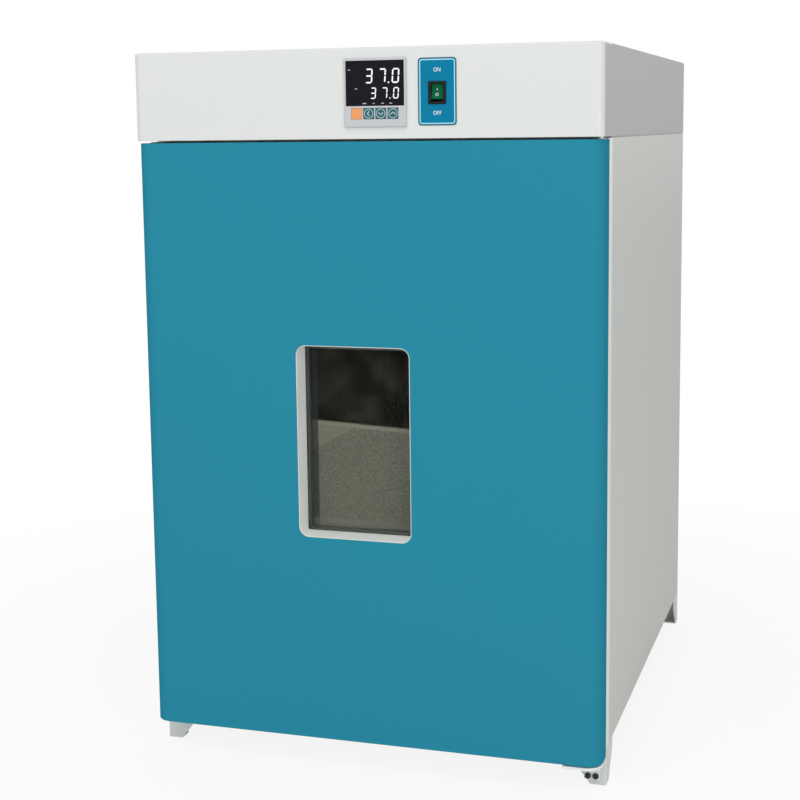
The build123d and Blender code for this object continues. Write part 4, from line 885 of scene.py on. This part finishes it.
class INCUBATOR_OT_controller(bpy.types.Operator):
    """Makes the controller's bezel, its lens and its lit numbers"""
    bl_idname = "incubator.controller"
    bl_label = "Controller"

    def execute(self, context):
        sizes = context.scene.incubator_controls
        softened("controller_bezel", "grey_plastic", "grey_plastic", 0.35 * MM, 3)
        low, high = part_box("display_window")
        lens = block("display_lens", low, high)
        round_edges(lens, front_at(low.y), 0.4 * MM, 2)
        smooth(lens)
        place(lens, "cabinet", "display_plastic", "display_plastic", "display_window")
        front = low.y - sizes.ink
        # Each row's left and right end and its middle height, as shares of the lens
        rows = (
            ("upper_number", sizes.digit_height, 0.34, 0.92, 0.66),
            ("lower_number", sizes.lower_height, 0.425, 0.91, 0.28))
        span, tall = high.x - low.x, high.z - low.z
        for name, height, left, right, rise in rows:
            number = self.number(
                name, height, low.x + left * span, low.x + right * span, low.z + rise * tall, front, sizes)
            place(number, "cabinet", "digit_glow", "display_plastic")
        self.marks(low, high, front, sizes)
        return {"FINISHED"}

    def segment(self, span, width, depth):
        """A bar with pointed ends, about the origin, lying along X."""
        point, tip = 0.34, 0.35     # a point's length and its end's height, as shares of the bar's width
        half = (span - width) / 2
        bar = block("segment", (-half, 0, -width / 2), (half, depth, width / 2))
        for side in (-1, 1):
            choose(bar, "FACE", lambda f: f.normal.x * side > 0.9)
            bpy.ops.mesh.extrude_region_move(TRANSFORM_OT_translate={"value": (side * width * point, 0, 0)})
            bpy.ops.transform.resize(value=(1, 1, tip), center_override=(side * half, 0, 0))
            done()
        return bar

    def number(self, name, height, left, right, middle, front, sizes):
        """The number 37.0 in seven-segment digits, between two ends and about a middle height."""
        lit = {"3": "abcdg", "7": "abc", "0": "abcdef"}
        # Each segment's steps to the side and up from the digit's middle, and whether it stands
        steps = {
            "a": (0, 1, False), "g": (0, 0, False), "d": (0, -1, False), "f": (-1, 0.5, True),
            "b": (1, 0.5, True), "e": (-1, -0.5, True), "c": (1, -0.5, True)}
        width = height * 0.52       # a digit is about half as wide as it is high
        pitch = (right - left - width) / 2
        stroke = sizes.stroke * height / sizes.digit_height
        half = (height - stroke) / 2
        # Small gaps part the segments of a digit.
        level = self.segment(width - 1.1 * stroke, stroke, 2 * sizes.ink)
        upright = self.segment(half - 0.2 * stroke, stroke, 2 * sizes.ink)
        upright.data.transform(Matrix.Rotation(math.pi / 2, 4, "Y"))
        lean = Matrix.Identity(4)
        lean[0][2] = math.tan(sizes.slant)
        parts = []
        for index, digit in enumerate("370"):
            for key in lit[digit]:
                side, rise, stands = steps[key]
                mesh = (upright if stands else level).data.copy()
                mesh.transform(Matrix.Translation((side * (width - stroke) / 2, 0, rise * half)))
                mesh.transform(lean)
                mesh.transform(Matrix.Translation((left + width / 2 + index * pitch, front, middle)))
                part = bpy.data.objects.new(name, mesh)
                bpy.context.scene.collection.objects.link(part)
                parts.append(part)
        # The dot stands a little left of the middle between the second and the third digit.
        dot = stroke / 2
        x = left + width / 2 + 1.5 * pitch - 0.03 * height
        z = middle - half
        parts.append(block(name, (x - dot, front, z - dot), (x + dot, front + 2 * sizes.ink, z + dot)))
        bpy.data.objects.remove(level)
        bpy.data.objects.remove(upright)
        return joined(name, parts)

    def marks(self, low, high, front, sizes):
        """The small printed marks round the numbers."""
        # Each mark's place across and up as shares of the lens, and its width and height in millimetres
        spots = (
            (0.06, 0.80, 3.8, 1.3), (0.18, 0.38, 3.8, 1.3), (0.96, 0.70, 1.1, 3.0), (0.32, 0.055, 6.2, 1.5),
            (0.48, 0.055, 3.0, 1.3), (0.63, 0.055, 4.6, 1.3), (0.77, 0.055, 4.6, 1.3))
        parts = []
        for across, up, width, height in spots:
            centre = Vector((
                low.x + across * (high.x - low.x), front + sizes.ink, low.z + up * (high.z - low.z)))
            half = Vector((width * MM / 2, sizes.ink, height * MM / 2))
            mark = block("mark", centre - half, centre + half)
            round_edges(mark, along_y, 0.4 * height * MM, 3)
            parts.append(mark)
        place(joined("display_marks", parts), "cabinet", "pale_ink", "display_plastic")


class INCUBATOR_OT_keys(bpy.types.Operator):
    """Makes the four keys and the marks on three of them"""
    bl_idname = "incubator.keys"
    bl_label = "Keys"

    def execute(self, context):
        sizes = context.scene.incubator_controls
        turns = {"shift_key": math.pi / 2, "down_key": math.pi, "up_key": 0.0}
        for node in ("set_key", "shift_key", "down_key", "up_key"):
            low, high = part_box(node)
            slot = "orange_plastic" if node == "set_key" else "teal_plastic"
            cap = block(node + "_cap", low, high)
            round_edges(cap, along_y, sizes.key_edge, 4)
            round_edges(cap, front_at(low.y), 0.5 * MM, 3)
            smooth(cap)
            place(cap, body_of(node), slot, slot, node)
            if node in turns:
                self.mark(node, low, high, turns[node], sizes)
        return {"FINISHED"}

    def mark(self, node, low, high, turn, sizes):
        """A ring with an arrowhead inside it, printed on the key's face."""
        centre = (low + high) / 2
        radius = 0.4 * (high.x - low.x)
        ring_width, head_width = 1.0 * MM, 1.5 * MM
        ring = drawn_line("ring", [(x, 0, z) for x, z in ring_points(radius, 40)], ring_width, True)
        side = 0.55 * radius
        head = drawn_line(
            "head", [(-side, 0, -0.35 * side), (0, 0, 0.55 * side), (side, 0, -0.35 * side)], head_width)
        mark = joined(node + "_mark", [ring, head])
        mark.data.transform(Matrix.Rotation(-turn, 4, "Y"))
        mark.data.transform(Matrix.Translation((centre.x, low.y, centre.z)))
        flattened(mark, low.y, sizes.ink)
        smooth(mark)
        place(mark, body_of(node), "key_mark", "teal_plastic")


class INCUBATOR_OT_switch(bpy.types.Operator):
    """Makes the switch's printed plate, its housing, its rocker and its words"""
    bl_idname = "incubator.switch"
    bl_label = "Mains switch"

    def execute(self, context):
        sizes = context.scene.incubator_controls
        low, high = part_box("switch_plate")
        softened("switch_plate", "teal_plate", "teal_plate", 0.2 * MM)
        self.outline("plate_dark_outline", low, high, 0.9 * MM, 1.8 * MM, "plate_edge", sizes)
        self.outline("plate_pale_line", low, high, 2.9 * MM, sizes.plate_line, "plate_line", sizes)
        middle = (low.x + high.x) / 2
        body_low, body_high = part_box("switch_housing")
        above, below = 16.2 * MM, 13 * MM       # distances of the words from the switch's body
        for text, z in (("ON", body_high.z + above), ("OFF", body_low.z - below)):
            label = word(
                "word_" + text, text, middle, z, sizes.word_height, sizes.word_squeeze, low.y, sizes.ink)
            place(label, "cabinet", "white_ink", "teal_plate")
        softened("switch_housing", "black_plastic", "black_plastic", 0.5 * MM, 3)
        softened("rocker", "green_plastic", "green_plastic", 0.5 * MM, 3)
        self.rocker_marks()
        return {"FINISHED"}

    def outline(self, name, low, high, inset, width, finish, sizes):
        """A printed line at a distance inside the plate's edge."""
        centre = (low + high) / 2
        corner = 5 * MM - 0.6 * inset       # rounder near the edge than further in
        loop = rounded_points((high.x - low.x) / 2 - inset, (high.z - low.z) / 2 - inset, corner)
        points = [(centre.x + x, low.y, centre.z + z) for x, z in loop]
        line = flattened(drawn_line(name, points, width, True), low.y, sizes.ink)
        place(smooth(line), "cabinet", finish, "teal_plate")

    def rocker_marks(self):
        """The bar above and the ring below on the rocker's hollow face."""
        low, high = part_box("rocker")
        body_low, body_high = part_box("switch_housing")
        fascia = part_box("header_fascia")[0].y
        pivot = Vector(((low.x + high.x) / 2, fascia + 7 * MM, (body_low.z + body_high.z) / 2))
        face = -7.7 * MM            # the hollow face lies this far before the pivot
        tilt = math.radians(-10)    # the rocker is stored pressed at ON
        foot, top = 1.9 * MM, 5.1 * MM
        radius, drop = 1.9 * MM, 4.4 * MM
        bar = drawn_line("bar", [(0, face, foot), (0, face, top)], 0.9 * MM)
        ring = drawn_line("ring", [(x, face, z - drop) for x, z in ring_points(radius, 24)], 0.8 * MM, True)
        marks = flattened(joined("rocker_marks", [bar, ring]), face, 0.3 * MM)
        marks.data.transform(Matrix.Rotation(tilt, 4, "X"))
        marks.data.transform(Matrix.Translation(pivot))
        place(smooth(marks), "power_rocker", "white_ink", "green_plastic")


class INCUBATOR_OT_stage(bpy.types.Operator):
    """Makes the floor, the soft lights, the surroundings and the camera"""
    bl_idname = "incubator.stage"
    bl_label = "Stage"

    def execute(self, context):
        sizes = context.scene.incubator_stage
        self.floor(sizes)
        self.surroundings(context, sizes)
        # Each lamp's place, the point that it faces, its side in metres and its power
        self.lamp("front_softbox", (-1.9, -4.6, 2.3), (0, -0.2, 0.7), 3.4, sizes.key_power)
        self.lamp("side_softbox", (3.2, -3.4, 0.9), (0, -0.2, 0.2), 2.0, sizes.side_power)
        self.lamp("top_softbox", (0.5, -2.6, 4.2), (0, -0.4, 0.4), 2.2, sizes.top_power)
        self.camera(context)
        context.scene.view_settings.view_transform = "Standard"
        return {"FINISHED"}

    def floor(self, sizes):
        """A pale floor that keeps the object's shadow and is white to the camera."""
        bpy.ops.object.select_all(action="DESELECT")
        bpy.ops.mesh.primitive_plane_add(size=sizes.floor, location=(0, 0, 0))
        floor = settle(bpy.context.object, "floor")
        colour = srgb("F4F4F2")
        finish, tree, shader = start("pale_floor", colour, Roughness=0.9)
        mottle(tree, shader, colour, 400 * MM, shade=0.004, height=0.01 * MM, rough=(0.88, 0.92))
        path = add(tree, "ShaderNodeLightPath")
        white = add(tree, "ShaderNodeEmission", {"Color": (1, 1, 1, 1), "Strength": 1.0})
        # The shadow shows within about a metre of the object, and further out the floor is plain white.
        spot = add(tree, "ShaderNodeTexCoord")
        reach = add(tree, "ShaderNodeVectorMath", {0: spot.outputs["Object"]}, operation="LENGTH")
        clear = add(tree, "ShaderNodeMapRange", {
            "Value": reach.outputs["Value"], "From Min": 0.6, "From Max": 1.6, "To Min": 0.88, "To Max": 1.0})
        seen = add(tree, "ShaderNodeMath", {
            0: path.outputs["Is Camera Ray"], 1: clear.outputs["Result"]}, operation="MULTIPLY")
        mix = add(tree, "ShaderNodeMixShader", {
            0: seen.outputs[0], 1: shader.outputs["BSDF"], 2: white.outputs["Emission"]})
        tree.links.new(mix.outputs[0], tree.nodes["Material Output"].inputs["Surface"])
        floor.data.materials.append(finish)

    def surroundings(self, context, sizes):
        """An even light from all round, and white where the camera or a gloss sees past the floor."""
        world = bpy.data.worlds.new("studio")
        world.use_nodes = True
        context.scene.world = world
        tree = world.node_tree
        tree.nodes.clear()
        path = add(tree, "ShaderNodeLightPath")
        first = add(tree, "ShaderNodeMath", {
            0: path.outputs["Is Camera Ray"], 1: path.outputs["Is Glossy Ray"]}, operation="MAXIMUM")
        seen = add(tree, "ShaderNodeMath", {
            0: first.outputs[0], 1: path.outputs["Is Transmission Ray"]}, operation="MAXIMUM")
        even = add(tree, "ShaderNodeBackground", {"Color": (1, 1, 1, 1), "Strength": sizes.fill})
        white = add(tree, "ShaderNodeBackground", {"Color": (1, 1, 1, 1), "Strength": 1.0})
        mix = add(tree, "ShaderNodeMixShader", {
            0: seen.outputs[0], 1: even.outputs["Background"], 2: white.outputs["Background"]})
        add(tree, "ShaderNodeOutputWorld", {"Surface": mix.outputs[0]})

    def lamp(self, name, spot, target, side, power):
        """A square soft lamp that faces a target."""
        data = bpy.data.lights.new(name, "AREA")
        data.shape = "SQUARE"
        data.size = side
        data.energy = power
        lamp = bpy.data.objects.new(name, data)
        lamp.location = spot
        lamp.rotation_euler = (Vector(target) - Vector(spot)).to_track_quat("-Z", "Y").to_euler()
        bpy.context.scene.collection.objects.link(lamp)

    def camera(self, context):
        """The photograph's viewpoint, turned, tilted and rolled as its edges show."""
        yaw, pitch, roll = -0.30334, -0.13518, -0.0120      # in radians
        forward = Vector((
            math.sin(yaw) * math.cos(pitch), math.cos(yaw) * math.cos(pitch), math.sin(pitch)))
        right = Vector((math.cos(yaw), -math.sin(yaw), 0))
        up = right.cross(forward)
        across = right * math.cos(roll) + up * math.sin(roll)
        upward = up * math.cos(roll) - right * math.sin(roll)
        data = bpy.data.cameras.new("camera")
        eye = Vector((751.4, -2653.7, 998.1)) * MM
        data.lens = 70.39
        data.sensor_width = 36
        data.shift_y = -0.075
        camera = bpy.data.objects.new("camera", data)
        turn = Matrix((across, upward, -forward)).transposed()
        camera.matrix_world = Matrix.Translation(eye) @ turn.to_4x4()
        context.scene.collection.objects.link(camera)
        context.scene.camera = camera


OPERATORS = (
    INCUBATOR_OT_finishes,
    INCUBATOR_OT_cabinet,
    INCUBATOR_OT_header,
    INCUBATOR_OT_controller,
    INCUBATOR_OT_keys,
    INCUBATOR_OT_switch,
    INCUBATOR_OT_door_skin,
    INCUBATOR_OT_window,
    INCUBATOR_OT_door_inside,
    INCUBATOR_OT_shelves,
    INCUBATOR_OT_chamber,
    INCUBATOR_OT_rear,
    INCUBATOR_OT_stage,
)


class INCUBATOR_PT_panel(bpy.types.Panel):
    """Lists the sizes, the colours and the steps"""
    bl_idname = "INCUBATOR_PT_panel"
    bl_label = "Laboratory incubator"
    bl_space_type = "VIEW_3D"
    bl_region_type = "UI"
    bl_category = "Incubator"

    def draw(self, context):
        layout = self.layout
        for name in SETTINGS:
            box = layout.box()
            group = getattr(context.scene, name)
            for key in group.bl_rna.properties.keys():
                if key not in {"rna_type", "name"}:
                    box.prop(group, key)
        for operator in OPERATORS:
            layout.operator(operator.bl_idname)


CLASSES = (*SETTINGS.values(), *OPERATORS, INCUBATOR_PT_panel)


def register():
    for cls in CLASSES:
        bpy.utils.register_class(cls)
    for name, group in SETTINGS.items():
        setattr(bpy.types.Scene, name, PointerProperty(type=group))


def unregister():
    for name in SETTINGS:
        delattr(bpy.types.Scene, name)
    for cls in reversed(CLASSES):
        bpy.utils.unregister_class(cls)


def main():
    """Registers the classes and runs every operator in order."""
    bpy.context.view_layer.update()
    register()
    for operator in OPERATORS:
        group, name = operator.bl_idname.split(".")
        getattr(getattr(bpy.ops, group), name)()


if __name__ == "__main__":
    main()
